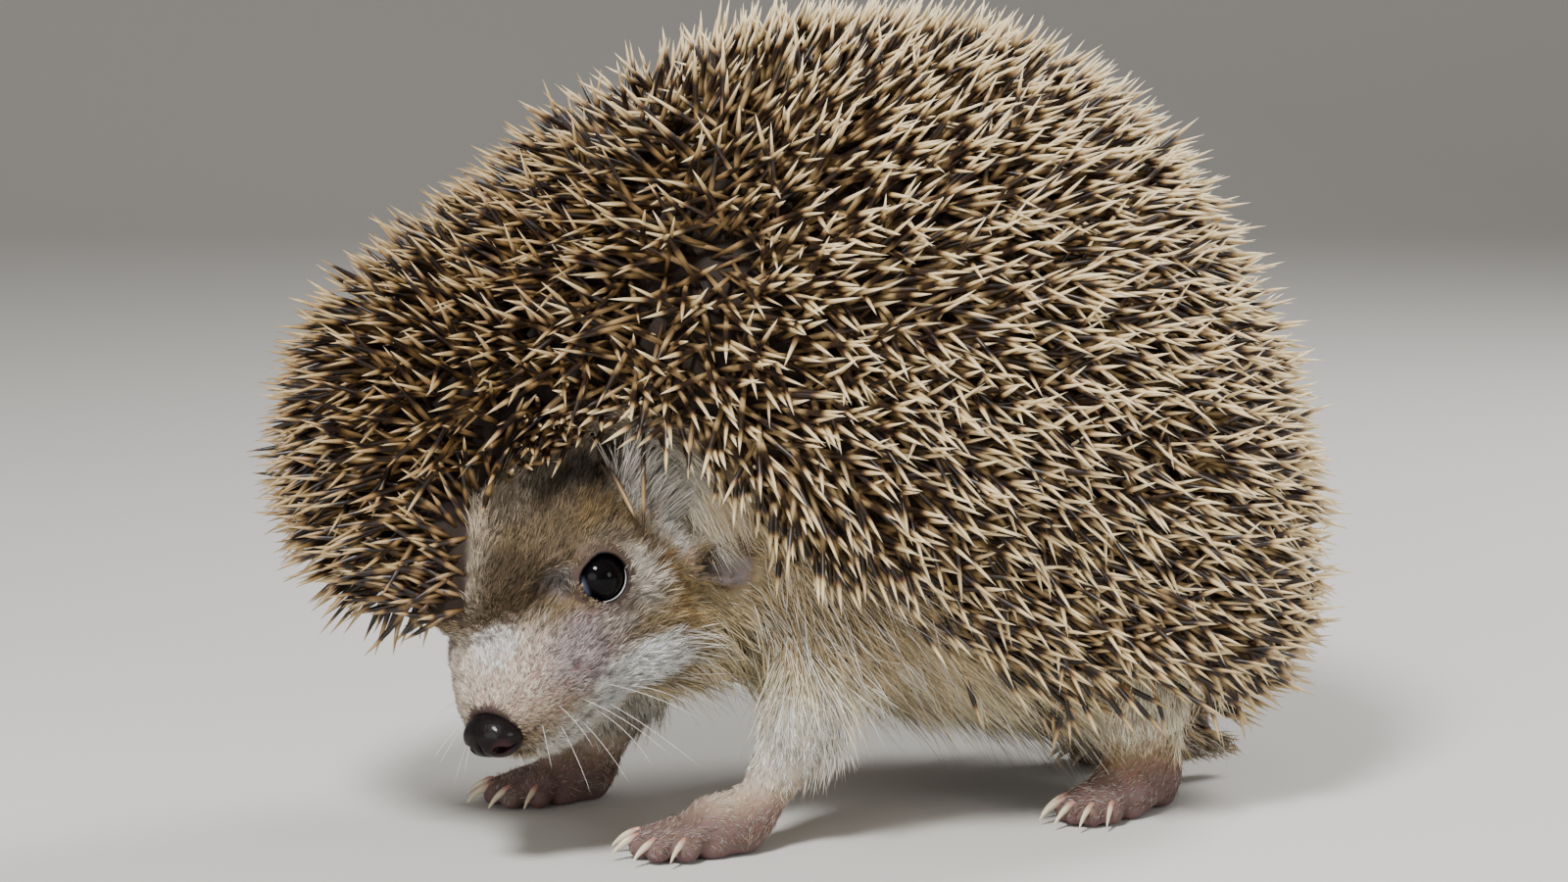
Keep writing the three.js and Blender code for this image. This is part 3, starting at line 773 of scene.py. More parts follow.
def write_numbers(piece, name, values):
    """Keeps a number, or a colour of four numbers, for each corner of a piece."""
    kind, key = ("FLOAT", "value") if values.ndim == 1 else ("FLOAT_COLOR", "color")
    layer = piece.data.attributes.new(name, kind, "POINT")
    if values.ndim == 2 and values.shape[1] == 3:
        values = np.column_stack([values, np.ones(len(values))])
    layer.data.foreach_set(key, values.astype(np.float32).ravel())


def material(name, roughness, **sockets):
    """A new material, its shader and a function that joins two of its sockets."""
    made = bpy.data.materials.new(name)
    made.use_nodes = True
    shader = made.node_tree.nodes["Principled BSDF"]
    shader.inputs["Roughness"].default_value = roughness
    for socket, value in sockets.items():
        shader.inputs[socket.replace("_", " ")].default_value = value
    return made, shader, made.node_tree.nodes, made.node_tree.links


def reads(nodes, name, output="Color"):
    """A node's output that gives a number or colour kept in the mesh."""
    reader = nodes.new("ShaderNodeAttribute")
    reader.attribute_name = name
    return reader.outputs[output]


def node_group(name, given, gives):
    """A shader node group with named inputs and outputs: the group, its nodes, its links and its two ends."""
    group = bpy.data.node_groups.new(name, "ShaderNodeTree")
    for in_out, sockets in (("INPUT", given), ("OUTPUT", gives)):
        for label, kind in sockets:
            group.interface.new_socket(label, in_out=in_out, socket_type=kind)
    ends = group.nodes.new("NodeGroupInput"), group.nodes.new("NodeGroupOutput")
    return group, group.nodes, group.links, *ends


def mottled_group():
    """Multiplies a colour by an irregular pattern of so many cells to the metre, by the amount given."""
    given = [("Colour", "NodeSocketColor"), ("Scale", "NodeSocketFloat"), ("Amount", "NodeSocketFloat")]
    group, nodes, links, given, gives = node_group("mottled", given, [("Colour", "NodeSocketColor")])
    place = nodes.new("ShaderNodeTexCoord")
    noise = nodes.new("ShaderNodeTexNoise")
    noise.inputs["Detail"].default_value = 4
    mix = nodes.new("ShaderNodeMix")
    mix.data_type, mix.blend_type = "RGBA", "MULTIPLY"
    links.new(place.outputs["Object"], noise.inputs["Vector"])
    links.new(given.outputs["Scale"], noise.inputs["Scale"])
    links.new(given.outputs["Amount"], mix.inputs["Factor"])
    links.new(given.outputs["Colour"], mix.inputs["A"])
    links.new(noise.outputs["Color"], mix.inputs["B"])
    links.new(mix.outputs["Result"], gives.inputs["Colour"])
    return group


def grained_group():
    """A normal for round grains, so many to the metre and of the depth given in metres."""
    given = [(label, "NodeSocketFloat") for label in ("Scale", "Strength", "Depth")]
    group, nodes, links, given, gives = node_group("grained", given, [("Normal", "NodeSocketVector")])
    place = nodes.new("ShaderNodeTexCoord")
    cells = nodes.new("ShaderNodeTexVoronoi")
    bump = nodes.new("ShaderNodeBump")
    bump.invert = True
    links.new(place.outputs["Object"], cells.inputs["Vector"])
    links.new(given.outputs["Scale"], cells.inputs["Scale"])
    links.new(given.outputs["Strength"], bump.inputs["Strength"])
    links.new(given.outputs["Depth"], bump.inputs["Distance"])
    links.new(cells.outputs["Distance"], bump.inputs["Height"])
    links.new(bump.outputs["Normal"], gives.inputs["Normal"])
    return group


MOTTLED = mottled_group()
GRAINED = grained_group()


def mottle(nodes, links, colour_from, colour_to, scale, amount):
    """Leads a colour through the mottled group to a socket."""
    use = nodes.new("ShaderNodeGroup")
    use.node_tree = MOTTLED
    use.inputs["Scale"].default_value, use.inputs["Amount"].default_value = scale, amount
    links.new(colour_from, use.inputs["Colour"])
    links.new(use.outputs["Colour"], colour_to)


def grain(nodes, links, normal_to, scale, strength, depth):
    """Leads the grained group's normal to a socket."""
    use = nodes.new("ShaderNodeGroup")
    use.node_tree = GRAINED
    for label, value in (("Scale", scale), ("Strength", strength), ("Depth", depth)):
        use.inputs[label].default_value = value
    links.new(use.outputs["Normal"], normal_to)


living_skin, shader, nodes, links = material("skin", 0.7, Subsurface_Weight=0.06, Subsurface_Scale=0.001,
                                             Specular_IOR_Level=0.15)
mottle(nodes, links, reads(nodes, "marking_and_shade"), shader.inputs["Base Color"], 900, 0.35)
grain(nodes, links, shader.inputs["Normal"], 1400, 0.35, 0.0002)
skin_piece = mesh_of("skin", skin_points, skin_triangles, living_skin)
tone, bare = bare_skin(skin_points)
spined = mantle_share(skin_points)[:, None]
# Under the fur the skin takes half the fur's colour, and under the spines a near-black brown: painted shade
# deep in the coat.
shaded_skin_under_coat = markings_light_and_shade(skin_points) * 0.5 * (1 - spined) + colour(44, 34, 27) * spined
write_numbers(skin_piece, "marking_and_shade", shaded_skin_under_coat * (1 - bare[:, None]) + tone * bare[:, None])
feet = [leg["foot"] for leg in LEGS]
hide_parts("trunk", "neck", "head", "tail", "ear_left", "ear_right", *feet,
            *[name.replace("foot", "leg") for name in feet])
print("SKIN", len(skin_points), len(skin_triangles))

# ------------------------------------------------------------ eyes
# Each eye is a ball with a clear bulging front, set in its lids: black to the rim, with a blue-grey crescent
# at the inner corner. A wet line runs along the lower lid's edge, tinted pale as a painted highlight.


def ball_of(rows, columns):
    """Unit directions on a ball: rows from pole to pole and columns round it, with its triangles."""
    a = np.linspace(0, np.pi, rows)[1:-1, None]
    b = np.arange(columns) * 2 * np.pi / columns
    ring = np.stack([np.sin(a) * np.cos(b), np.sin(a) * np.sin(b), np.cos(a) + 0 * b], -1).reshape(-1, 3)
    p = np.concatenate([[[0, 0, 1.0]], ring, [[0, 0, -1.0]]])
    j = np.arange(columns)
    k = (j + 1) % columns
    first = np.column_stack([np.zeros(columns, int), 1 + j, 1 + k])
    last = len(p) - 1
    below = last - columns
    faces = [first]
    for row in range(rows - 3):
        u, v = 1 + row * columns, 1 + (row + 1) * columns
        faces += [np.column_stack([u + j, v + j, v + k]), np.column_stack([u + j, v + k, u + k])]
    faces.append(np.column_stack([np.full(columns, last), below + k, below + j]))
    return p, np.concatenate(faces)


def tube(centre, u, v, thick, sides_round, turn=1):
    """A closed tube: round each centre lie points at centre + thick * (u * cos + v * sin), and both ends are
    points. Gives corners and triangles. Turn is -1 where u, v and the way along are a left-handed set."""
    angle = np.arange(sides_round) * 2 * np.pi / sides_round
    ring = u[1:-1, None] * np.cos(angle)[:, None] + v[1:-1, None] * np.sin(angle)[:, None]
    walls = centre[1:-1, None] + thick[1:-1, None] * ring
    p = np.concatenate([walls.reshape(-1, 3), centre[:1], centre[-1:]])
    rings, j = len(centre) - 2, np.arange(sides_round)
    k = (j + 1) % sides_round
    row = np.arange(rings - 1)[:, None] * sides_round
    a, b = (row + j).ravel(), (row + k).ravel()
    last = (rings - 1) * sides_round
    faces = np.concatenate([
        np.column_stack([a, b, b + sides_round]), np.column_stack([a, b + sides_round, a + sides_round]),
        np.column_stack([k, j, np.full(sides_round, len(p) - 2)]),
        np.column_stack([last + j, last + k, np.full(sides_round, len(p) - 1)])])
    return p, faces[:, ::turn]


def frame_about(axis):
    """Two unit directions square to an axis and to each other."""
    u = np.cross([0, 0, 1.0], axis)
    u /= np.linalg.norm(u)
    return u, np.cross(axis, u)


wet_eye, shader, nodes, links = material("wet eye", 0.03, Specular_IOR_Level=0.09)
links.new(reads(nodes, "tint"), shader.inputs["Base Color"])
# The wet line's material: glossy, with a pale tint that is a painted highlight.
tear_glint, shader, nodes, links = material("tear_glint", 0.08, Coat_Weight=1.0)
mottle(nodes, links, reads(nodes, "tint"), shader.inputs["Base Color"], 2600, 0.5)
way, faces = ball_of(40, 64)
for side, name in ((1, "left"), (-1, "right")):
    mirror = np.array([side, 1, 1])
    gaze = GAZE * mirror
    u, v = frame_about(gaze)
    out = way[:, :1] * u + way[:, 1:2] * v + way[:, 2:] * gaze
    off_gaze = np.degrees(np.arccos(np.clip(out @ gaze, -1, 1)))
    cornea = 0.045 * (1 + np.cos(np.pi * np.clip(off_gaze / 52, 0, 1))) / 2
    centre = np.array([side * EYE_SPREAD, 0, 0])
    h = centre + out * (EYE_RADIUS * (0.985 + cornea))[:, None]
    piece = mesh_of(f"eyeball_{name}", from_head(h), faces, wet_eye)
    inner = unit((INNER_CORNER * mirror - gaze * (INNER_CORNER @ GAZE))[None])[0]
    toward = out @ unit((inner - [0, 0, 0.35])[None])[0]
    crescent = step(toward, 0.56, 0.80)
    tint = colour(5, 5, 7) * (1 - crescent[:, None]) + colour(98, 106, 122) * crescent[:, None]
    brown = step(off_gaze, 14, 20) * (1 - step(off_gaze, 34, 46)) * 0.15
    tint = tint + (colour(30, 22, 18) - tint) * (brown * (1 - crescent))[:, None]
    write_numbers(piece, "tint", tint)
    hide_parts(f"eye_{name}")
    # The wet line is a thin bead along the rear and lower part of the lid's opening; its pale tint is a
    # painted highlight.
    down = np.cross(gaze, inner) * side
    turn = np.radians(np.linspace(-15, 100, 30))[:, None]
    spoke = -inner * np.cos(turn) + down * np.sin(turn)
    middle = centre + spoke * (LID_OPENING - 0.12) + gaze * 2.92
    thick = 0.11 * np.sqrt(np.sin(np.linspace(0, np.pi, 30)))[:, None]
    p, bead_faces = tube(middle, spoke, np.broadcast_to(gaze, spoke.shape), thick, 8, side)
    piece = mesh_of(f"tear_glint_line_{name}", from_head(p), bead_faces, tear_glint)
    # A pale tint for the wet line: a painted highlight.
    write_numbers(piece, "tint", np.tile(colour(214, 208, 206), (len(p), 1)))

# ------------------------------------------------------------ nose
# The nose pad is bare, wet, dark skin with fine bumps: a ball with a groove down its middle, and a comma of a
# nostril on each side whose raised rim catches the light.


def nose_pad(h):
    """The nose pad in the head's coordinates, less the nostrils and the groove."""
    q = h - NOSE_AT.astype(h.dtype)
    flip = np.column_stack([np.abs(q[:, 0]), q[:, 1:]])
    body = blend(1.6, ellipsoid(q, [0, -0.2, 0.3], [4.3, 3.6, 3.4]),
                 ellipsoid(flip, [2.1, 0.2, -0.7], [2.6, 3.0, 2.7]),
                 ellipsoid(q, [0, 0.8, -2.6], [2.2, 2.2, 1.8]))
    rim = round_cone(flip, [2.6, -1.4, 0.9], 1.1, [4.0, 0.4, -0.4], 1.0)
    hole = blend(0.4, ellipsoid(flip, [2.7, -2.9, -0.5], [0.95, 1.5, 0.8]),
                 round_cone(flip, [3.0, -2.6, -0.6], 0.5, [4.6, -0.6, -1.1], 0.25))
    groove = np.maximum(np.abs(q[:, 0]) - 0.12 + 0.35 * step(q[:, 2], 0.4, 2.4), q[:, 1] + 1.6)
    field = carve(0.5, blend(0.9, body, rim), hole)
    return carve(0.6, field, np.maximum(groove, -field - 0.5))


low_nose, high_nose = (NOSE_AT - 6.5).astype(np.float32), (NOSE_AT + 6.5).astype(np.float32)
nose_points, nose_faces = grid_surface(nose_pad, low_nose, high_nose, 0.2)
nose_points = settle(nose_pad, nose_points.astype(float), 2)
wet_nose, shader, nodes, links = material("wet nose", 0.45, Coat_Weight=0.14, Coat_Roughness=0.1,
                                          Specular_IOR_Level=0.08)
links.new(reads(nodes, "tint"), shader.inputs["Base Color"])
grain(nodes, links, shader.inputs["Normal"], 2200, 0.5, 0.00012)
nose_piece = mesh_of("nose_pad", from_head(nose_points), nose_faces, wet_nose)
q = sides(nose_points - NOSE_AT)
red = 1 - step(np.linalg.norm((q - [3.0, -2.0, -0.3]) / [1.5, 2.2, 1.5], axis=1), 0.7, 1.3)
tint = np.tile(colour(19, 15, 15), (len(q), 1)) * (1 + 0.25 * wander(nose_points, 0.8))[:, None]
tint = tint + (colour(72, 38, 42) - tint) * (red * 0.5)[:, None]
# Painted shade: inside each nostril's hole the colour falls to a quarter.
tint = tint * (0.25 + 0.75 * step(ellipsoid(q, [2.9, -2.3, -0.6], [1.0, 1.7, 0.8]), -0.1, 0.35))[:, None]
write_numbers(nose_piece, "tint", np.clip(tint, 0, 1))
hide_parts("nose")

# ------------------------------------------------------------ claws
# Twenty claws of pale horn, long and little curved for digging: each is a flattened cone that grows from the
# end of a toe, clear enough for its pink quick to show near the root.


def claw_line(node, foot_middle):
    """A claw's root and tip in body millimetres: the ends of its solid, nearest to the foot and farthest."""
    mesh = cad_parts[node].data
    p = np.empty(len(mesh.vertices) * 3, np.float32)
    mesh.vertices.foreach_get("co", p)
    p = p.reshape(-1, 3) / MM - WITHERS
    away = np.linalg.norm((p - foot_middle)[:, :2], axis=1)
    return p[away <= np.quantile(away, 0.3)].mean(0), p[np.argmax(away)]


CLAW_RINGS = 18
CLAW_SIDES = 16
claw_horn, shader, nodes, links = material("claw horn", 0.28, Subsurface_Weight=0.2, Subsurface_Scale=0.0008)
mottle(nodes, links, reads(nodes, "tint"), shader.inputs["Base Color"], 1800, 0.25)
for leg in LEGS:
    kind, side = leg["foot"].split("_")
    foot_middle = middle_of(leg["foot"]) - WITHERS
    for number in range(1, 6):
        node = f"{kind[:4]}_claw_{side}_{number}"
        root, tip = claw_line(node, foot_middle)
        t = np.linspace(0, 1, CLAW_RINGS)[:, None]
        reach = tip - root
        length = np.linalg.norm(reach)
        way = reach / length
        across = np.cross(way, [0, 0, 1.0])
        across /= np.linalg.norm(across)
        up = np.cross(across, way)
        centre = root - way * 0.9 + (reach + way * 0.9) * t + up * (4 * t * (1 - t)) * length * 0.13
        thick = np.sqrt(np.clip(1 - t**1.6, 0, 1)) * (1 - 0.35 * t)
        u, v = (np.tile(half, (len(t), 1)) for half in (across * 0.58, up * 0.86))
        p, faces = tube(centre, u, v, thick, CLAW_SIDES, -1)
        piece = mesh_of(f"claw_{kind}_{side}_{number}", p, faces, claw_horn)
        share = np.append(np.repeat(t[1:-1, 0], CLAW_SIDES), [0, 1])
        quick = 1 - step(share, 0.15, 0.5)
        angle = np.arange(CLAW_SIDES) * 2 * np.pi / CLAW_SIDES
        ridge = 0.06 * np.append(np.tile(np.cos(angle * 5), CLAW_RINGS - 2), [0, 0])
        tint = colour(222, 208, 178) * (1 - quick[:, None]) + colour(186, 138, 120) * quick[:, None]
        write_numbers(piece, "tint", np.clip(tint * (1 + ridge[:, None]), 0, 1))
        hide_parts(node)

# ------------------------------------------------------------ spines
# Stiff hollow hairs, each held in the mantle's skin by a thin neck, some 16 mm long and 1 mm thick. They are
# smooth horn: pale near the root, dark brown above, and cream at the fine tip; the darker brown at the root
# itself is painted shade deep among the spines. They lean away from the crown and to the rear, and cross each
# other in every direction.
SPINE_LENGTH = 18.0
SPINE_RADIUS = 0.51
SPINE_SPACING = 1.38
CROWN = np.array([-4, -22, 96.0])


def scatter(count, weight, random):
    """Places on the skin: a triangle drawn by its area times a weight, then an even share of its corners."""
    corners = skin_points[skin_triangles]
    area = np.linalg.norm(np.cross(corners[:, 1] - corners[:, 0], corners[:, 2] - corners[:, 0]), axis=1)
    share = area * np.clip(weight(corners.mean(1)), 0, None)
    drawn = random.choice(len(area), count, p=share / share.sum())
    a, b = random.random((2, count))
    over = a + b > 1
    a[over], b[over] = 1 - a[over], 1 - b[over]
    parts = np.column_stack([1 - a - b, a, b])[:, :, None]
    place = (corners[drawn] * parts).sum(1)
    normal = (skin_normals[skin_triangles[drawn]] * parts).sum(1)
    return place, normal / np.linalg.norm(normal, axis=1)[:, None]


def spread(place, spacing):
    """Which places stay when, one after another, each drops those that are nearer to it than the spacing."""
    tree = KDTree(len(place))
    for i, point in enumerate(place):
        tree.insert(point, i)
    tree.balance()
    stays = np.ones(len(place), bool)
    for i, point in enumerate(place):
        if stays[i]:
            near = [number for _, number, _ in tree.find_range(point, spacing[i])]
            stays[near] = False
            stays[i] = True
    return stays


def leaning(normal, flow, lift, swing):
    """A direction that lies lift degrees off the skin, along the flow, swung to the side by some degrees."""
    tangent = unit(flow - normal * (flow * normal).sum(1)[:, None])
    side = np.cross(normal, tangent)
    lift, swing = np.radians(lift)[:, None], np.radians(swing)[:, None]
    return (tangent * np.cos(swing) + side * np.sin(swing)) * np.cos(lift) + normal * np.sin(lift)


def strands(root, way, length, radius, bend, profile, sides):
    """Tapered tubes. The centre runs root + length * (t * way + t^2 * bend), and at each t of the profile a
    ring of radius * share lies round it. The last t is a point. Gives corners, triangles and corners' t."""
    t, share = np.array(profile, float).T
    count, rings = len(root), len(t) - 1
    along_way = t[:, None] * way[:, None] + (t**2)[:, None] * bend[:, None]
    centre = root[:, None] + length[:, None, None] * along_way
    helper = np.where(np.abs(way[:, 2:]) < 0.9, [[0, 0, 1.0]], [[1.0, 0, 0]])
    u = unit(np.cross(way, helper))
    v = np.cross(way, u)
    angle = np.arange(sides) * 2 * np.pi / sides
    ring = u[:, None] * np.cos(angle)[:, None] + v[:, None] * np.sin(angle)[:, None]
    around = centre[:, :rings, None] + (radius[:, None] * share[:rings])[:, :, None, None] * ring[:, None]
    corners = np.concatenate([around.reshape(count, -1, 3), centre[:, -1:]], 1)
    k, j = np.arange(rings - 1)[:, None], np.arange(sides)
    a, b = k * sides + j, k * sides + (j + 1) % sides
    walls = ((a, b, b + sides), (a, b + sides, a + sides))
    walls = np.concatenate([np.stack(wall, -1).reshape(-1, 3) for wall in walls])
    last = (rings - 1) * sides
    tip = np.column_stack([last + j, last + (j + 1) % sides, np.full(sides, rings * sides)])
    base = np.column_stack([np.zeros(sides - 2, int), np.arange(2, sides), np.arange(1, sides - 1)])
    one = np.concatenate([walls, tip, base])
    faces = (one[None] + (np.arange(count) * corners.shape[1])[:, None, None]).reshape(-1, 3)
    along = np.broadcast_to(np.append(np.repeat(t[:rings], sides), t[-1]), (count, corners.shape[1]))
    return corners.reshape(-1, 3), faces, along.ravel()


def round_map(p, centre):
    """Where a place lies on an even unwrap of a round body: its bearing, and its height over its distance."""
    q = p - centre
    bearing = np.arctan2(q[:, 0], -q[:, 1]) / (2 * np.pi) + 0.5
    return np.column_stack([bearing, (q[:, 2] / np.linalg.norm(q, axis=1) + 1) / 2])


PATCH = 0.003  # of the unwrap, for each tuft or spine


def keep_map(piece, at):
    """The piece's OFBake map, from a place for each of its corners."""
    layer = piece.data.uv_layers.new(name="OFBake")
    corner = np.empty(len(piece.data.loops), np.int32)
    piece.data.loops.foreach_get("vertex_index", corner)
    layer.uv.foreach_set("vector", np.clip(at[corner], 0, 1).astype(np.float32).ravel())


def coat_pieces(name, made, each, numbers, at, surface, most=190_000):
    """Parts strands into pieces of fewer triangles than most, with their numbers and their map."""
    points, faces, _ = made
    count = len(points) // each
    per_strand = len(faces) // count
    parts = int(np.ceil(len(faces) / most))
    bounds = np.linspace(0, count, parts + 1).astype(int)
    for i, (first, last) in enumerate(zip(bounds[:-1], bounds[1:])):
        own = slice(first * each, last * each)
        piece = mesh_of(f"{name}_{i + 1}" if parts > 1 else name, points[own],
                        faces[first * per_strand : last * per_strand] - first * each, surface)
        for key, values in numbers.items():
            write_numbers(piece, key, values[own])
        keep_map(piece, at[own])
    return len(faces)


random = np.random.default_rng(11)
place, normal = scatter(70000, mantle_share, random)
stays = spread(place, np.full(len(place), SPINE_SPACING))
place, normal = place[stays], normal[stays]
count = len(place)
# On the hood they point ahead and to its right, on the back to the rear, and between the two some do either.
ahead = -place[:, 1] - 0.45 * (95 - place[:, 2]) + 5 * wander(place, 13)
hooded = random.random(count) < step(ahead, 12, 44)
outward = unit(place - CROWN)
back_flow = np.array([0.1, 1.0, 0]) - [0, 0, 0.25] * step(place[:, 2], 14, 50)[:, None] + outward * 0.3
hood_flow = np.array([-0.35, -1.0, 0]) - [0, 0, 0.4] * step(-place[:, 1], 56, 80)[:, None]
flow = np.where(hooded[:, None], hood_flow, back_flow)
# Round the face they are short and stand up, away from it.
at_face = 1 - step(hairline(to_head(place)), 1, 9)
away = unit(to_head(place) - [15, -4, -2]) @ HEAD_AXES.T
flow = flow + (away - flow) * at_face[:, None] * step(-place[:, 1], 26, 36)[:, None]
flow = flow - normal * (flow * normal).sum(1)[:, None]
sure = np.clip(np.linalg.norm(flow, axis=1) * 1.1, 0, 1)
within = step(flesh(place) - mantle(place), 0, 10)
lift = 62 - (62 - 24 - 20 * within) * sure + 4 * step(ahead, 20, 50) + random.normal(0, 15, count)
swing = np.where(random.random(count) < 0.5, -1, 1) * 34 * (0.4 + 0.6 * within) + random.normal(0, 26, count)
way = leaning(normal, flow, np.clip(lift, 12, 66), swing)
length = SPINE_LENGTH * (0.84 + 0.12 * within + random.normal(0, 0.05, count)) * (1 - 0.1 * (1 - sure))
length = length * (1 - 0.38 * at_face)
# None reaches the floor.
to_floor = (place[:, 2] - 1.5) / np.maximum(-way[:, 2] + 0.03, 1e-3)
length = np.where(way[:, 2] < 0, np.minimum(length, to_floor), length)
bend = random.normal(0, 0.035, (count, 3)) - [0, 0, 0.01]
# The solids reach to the coat's tips, so a tip that would pass their box by over a fiftieth leans in.
TIP_EASE = 4.0
low, high = (np.array(corner) / MM - WITHERS for corner in cad_box)
middle, half = (low + high) / 2, (high - low) * 0.52 - TIP_EASE
curl = bend * length[:, None]
past = place + way * length[:, None] + curl - middle
over = np.maximum(np.abs(past) - half, 0)
eased = middle + np.sign(past) * (np.minimum(np.abs(past), half) + TIP_EASE * np.tanh(over / TIP_EASE))
reach = eased - curl - place
way, length = unit(reach), np.linalg.norm(reach, axis=1)
# Three stray ones hang from the hood over the forehead: roots and reaches in the head's coordinates.
STRAY_ROOTS = [[1.2, 10.5, 15.0], [7.0, 19.0, 16.0], [17.0, 18.0, 16.0]]
STRAY_REACH = [[3.9, -10.6, -5.4], [11.0, -11.1, -9.6], [2.7, -14.8, -10.9]]
stray = from_head(np.array(STRAY_ROOTS, float))
nearest = np.argmin(((skin_points[:, None] - stray[None]) ** 2).sum(-1), axis=0)
place, normal = np.concatenate([place, skin_points[nearest]]), np.concatenate([normal, skin_normals[nearest]])
way = np.concatenate([way, unit(np.array(STRAY_REACH)) @ HEAD_AXES.T])
length = np.append(length, np.linalg.norm(STRAY_REACH, axis=1))
ahead = np.append(ahead, np.full(len(stray), 30.0))
bend = np.concatenate([bend, np.tile([0, 0, -0.04], (len(stray), 1))])
count = len(place)
SPINE_PROFILE = [(0, 0.6), (0.40, 1.0), (0.64, 0.98), (0.84, 0.56), (1, 0)]
SPINE_SIDES = 5
thick = SPINE_RADIUS * random.uniform(0.8, 1.1, count)
made = strands(place - normal * 0.5, way, length, thick, bend, SPINE_PROFILE, SPINE_SIDES)
each = (len(SPINE_PROFILE) - 1) * SPINE_SIDES + 1
ring = np.append(np.tile(np.arange(SPINE_SIDES) / SPINE_SIDES, len(SPINE_PROFILE) - 1), 0.5)
at = np.repeat(round_map(place, [0, 15, 62]), each, 0)
at = at + PATCH * np.column_stack([np.tile(ring, len(place)) - 0.5, made[2] - 0.5])
tone = random.normal(0, 1, count)
# The stray ones, and some of the hood's, have their pale band farther down and a dark tip.
tone[-len(stray) :] = -10
tone[random.random(count) < 0.3 * step(ahead, 16, 34)] -= 5
tone = np.repeat(tone, each)
# The hood's spines and those near the hem are browner and darker than the back's: partly their own golden
# tint, partly painted shade on the hood and low down by the hem.
golden_and_shade = np.clip(step(ahead, 16, 40) * 0.9 + 0.7 * (1 - step(place[:, 2], 20, 45)), 0, 1)
golden_and_shade = golden_and_shade * random.uniform(0.6, 1, count)
horn, shader, nodes, links = material("spine horn", 0.4)
ramp = nodes.new("ShaderNodeValToRGB")
# The colours from root to tip. The dark brown at the very root, paling towards the pale band, is painted
# shade deep in the coat.
BANDS = [
    (0.0, colour(62, 48, 34)), (0.2, colour(124, 100, 68)), (0.40, colour(176, 147, 102)),
    (0.50, colour(58, 41, 27)), (0.66, colour(26, 18, 13)), (0.70, colour(98, 70, 42)),
    (0.76, colour(206, 178, 128)), (1.0, colour(244, 226, 184)),
]
while len(ramp.color_ramp.elements) < len(BANDS):
    ramp.color_ramp.elements.new(0.5)
for element, (position, band) in zip(ramp.color_ramp.elements, BANDS):
    element.position, element.color = position, (*band, 1)
shift = nodes.new("ShaderNodeMath")
shift.operation = "MULTIPLY_ADD"
shift.inputs[1].default_value = 0.028
links.new(reads(nodes, "tone", "Fac"), shift.inputs[0])
links.new(reads(nodes, "along", "Fac"), shift.inputs[2])
links.new(shift.outputs[0], ramp.inputs["Fac"])
# The tan multiplies the colour of the hood's and hem's spines: partly a golden tint, partly painted shade.
tan_and_shade = nodes.new("ShaderNodeMix")
tan_and_shade.data_type, tan_and_shade.blend_type = "RGBA", "MULTIPLY"
tan_and_shade.inputs["B"].default_value = (*colour(162, 143, 110), 1)
links.new(reads(nodes, "golden_and_shade", "Fac"), tan_and_shade.inputs["Factor"])
links.new(ramp.outputs["Color"], tan_and_shade.inputs["A"])
links.new(tan_and_shade.outputs["Result"], shader.inputs["Base Color"])
numbers = {"along": made[2], "tone": tone, "golden_and_shade": np.repeat(golden_and_shade, each)}
print("SPINES", count, coat_pieces("spines", made, each, numbers, at, horn))

# ------------------------------------------------------------ fur
# Tufts of a few fine hairs each: short and close on the face and feet, long and coarse on neck, flanks and
# belly, where pale guard hairs hang over golden ones. They lie back from the nose, and down the legs.


def body_regions(p):
    """Shares, from 0 to 1, of the head, the legs and the feet at each place."""
    head = head_share(p)
    limbs = step(past_body(p), -2, 2) * (1 - step(p[:, 2], 28, 33))
    feet = step(12 - p[:, 2], 0, 4) * limbs
    return head, limbs, feet


def lie(p):
    """The way the fur lies: back from the nose on the head, back and down on the body, down the legs."""
    h = to_head(p)
    head, limbs, feet = body_regions(p)
    from_nose = unit(h - [0, -33, -7])
    from_nose = from_nose - [0, 0, 0.9] * step(-h[:, 2], 12.5, 16)[:, None] * step(-h[:, 1], 12, 16)[:, None]
    silky = np.column_stack([0.5 * np.sign(h[:, 0]), np.full(len(h), 0.3), np.full(len(h), -0.8)])
    from_nose = from_nose + (silky - from_nose) * silk_share(p)[:, None]
    from_nose = from_nose @ HEAD_AXES.T
    body = unit(np.tile([0.05, 0.80, -0.55], (len(p), 1)) + [0.35, 0, -0.35] * step(-p[:, 1], 8, 30)[:, None])
    down = np.tile([0, 0.22, -1.0], (len(p), 1))
    ahead = np.tile([0, -1.0, -0.35], (len(p), 1))
    limb = down + (ahead - down) * feet[:, None]
    flow = body + (limb - body) * limbs[:, None]
    return flow + (from_nose - flow) * head[:, None]


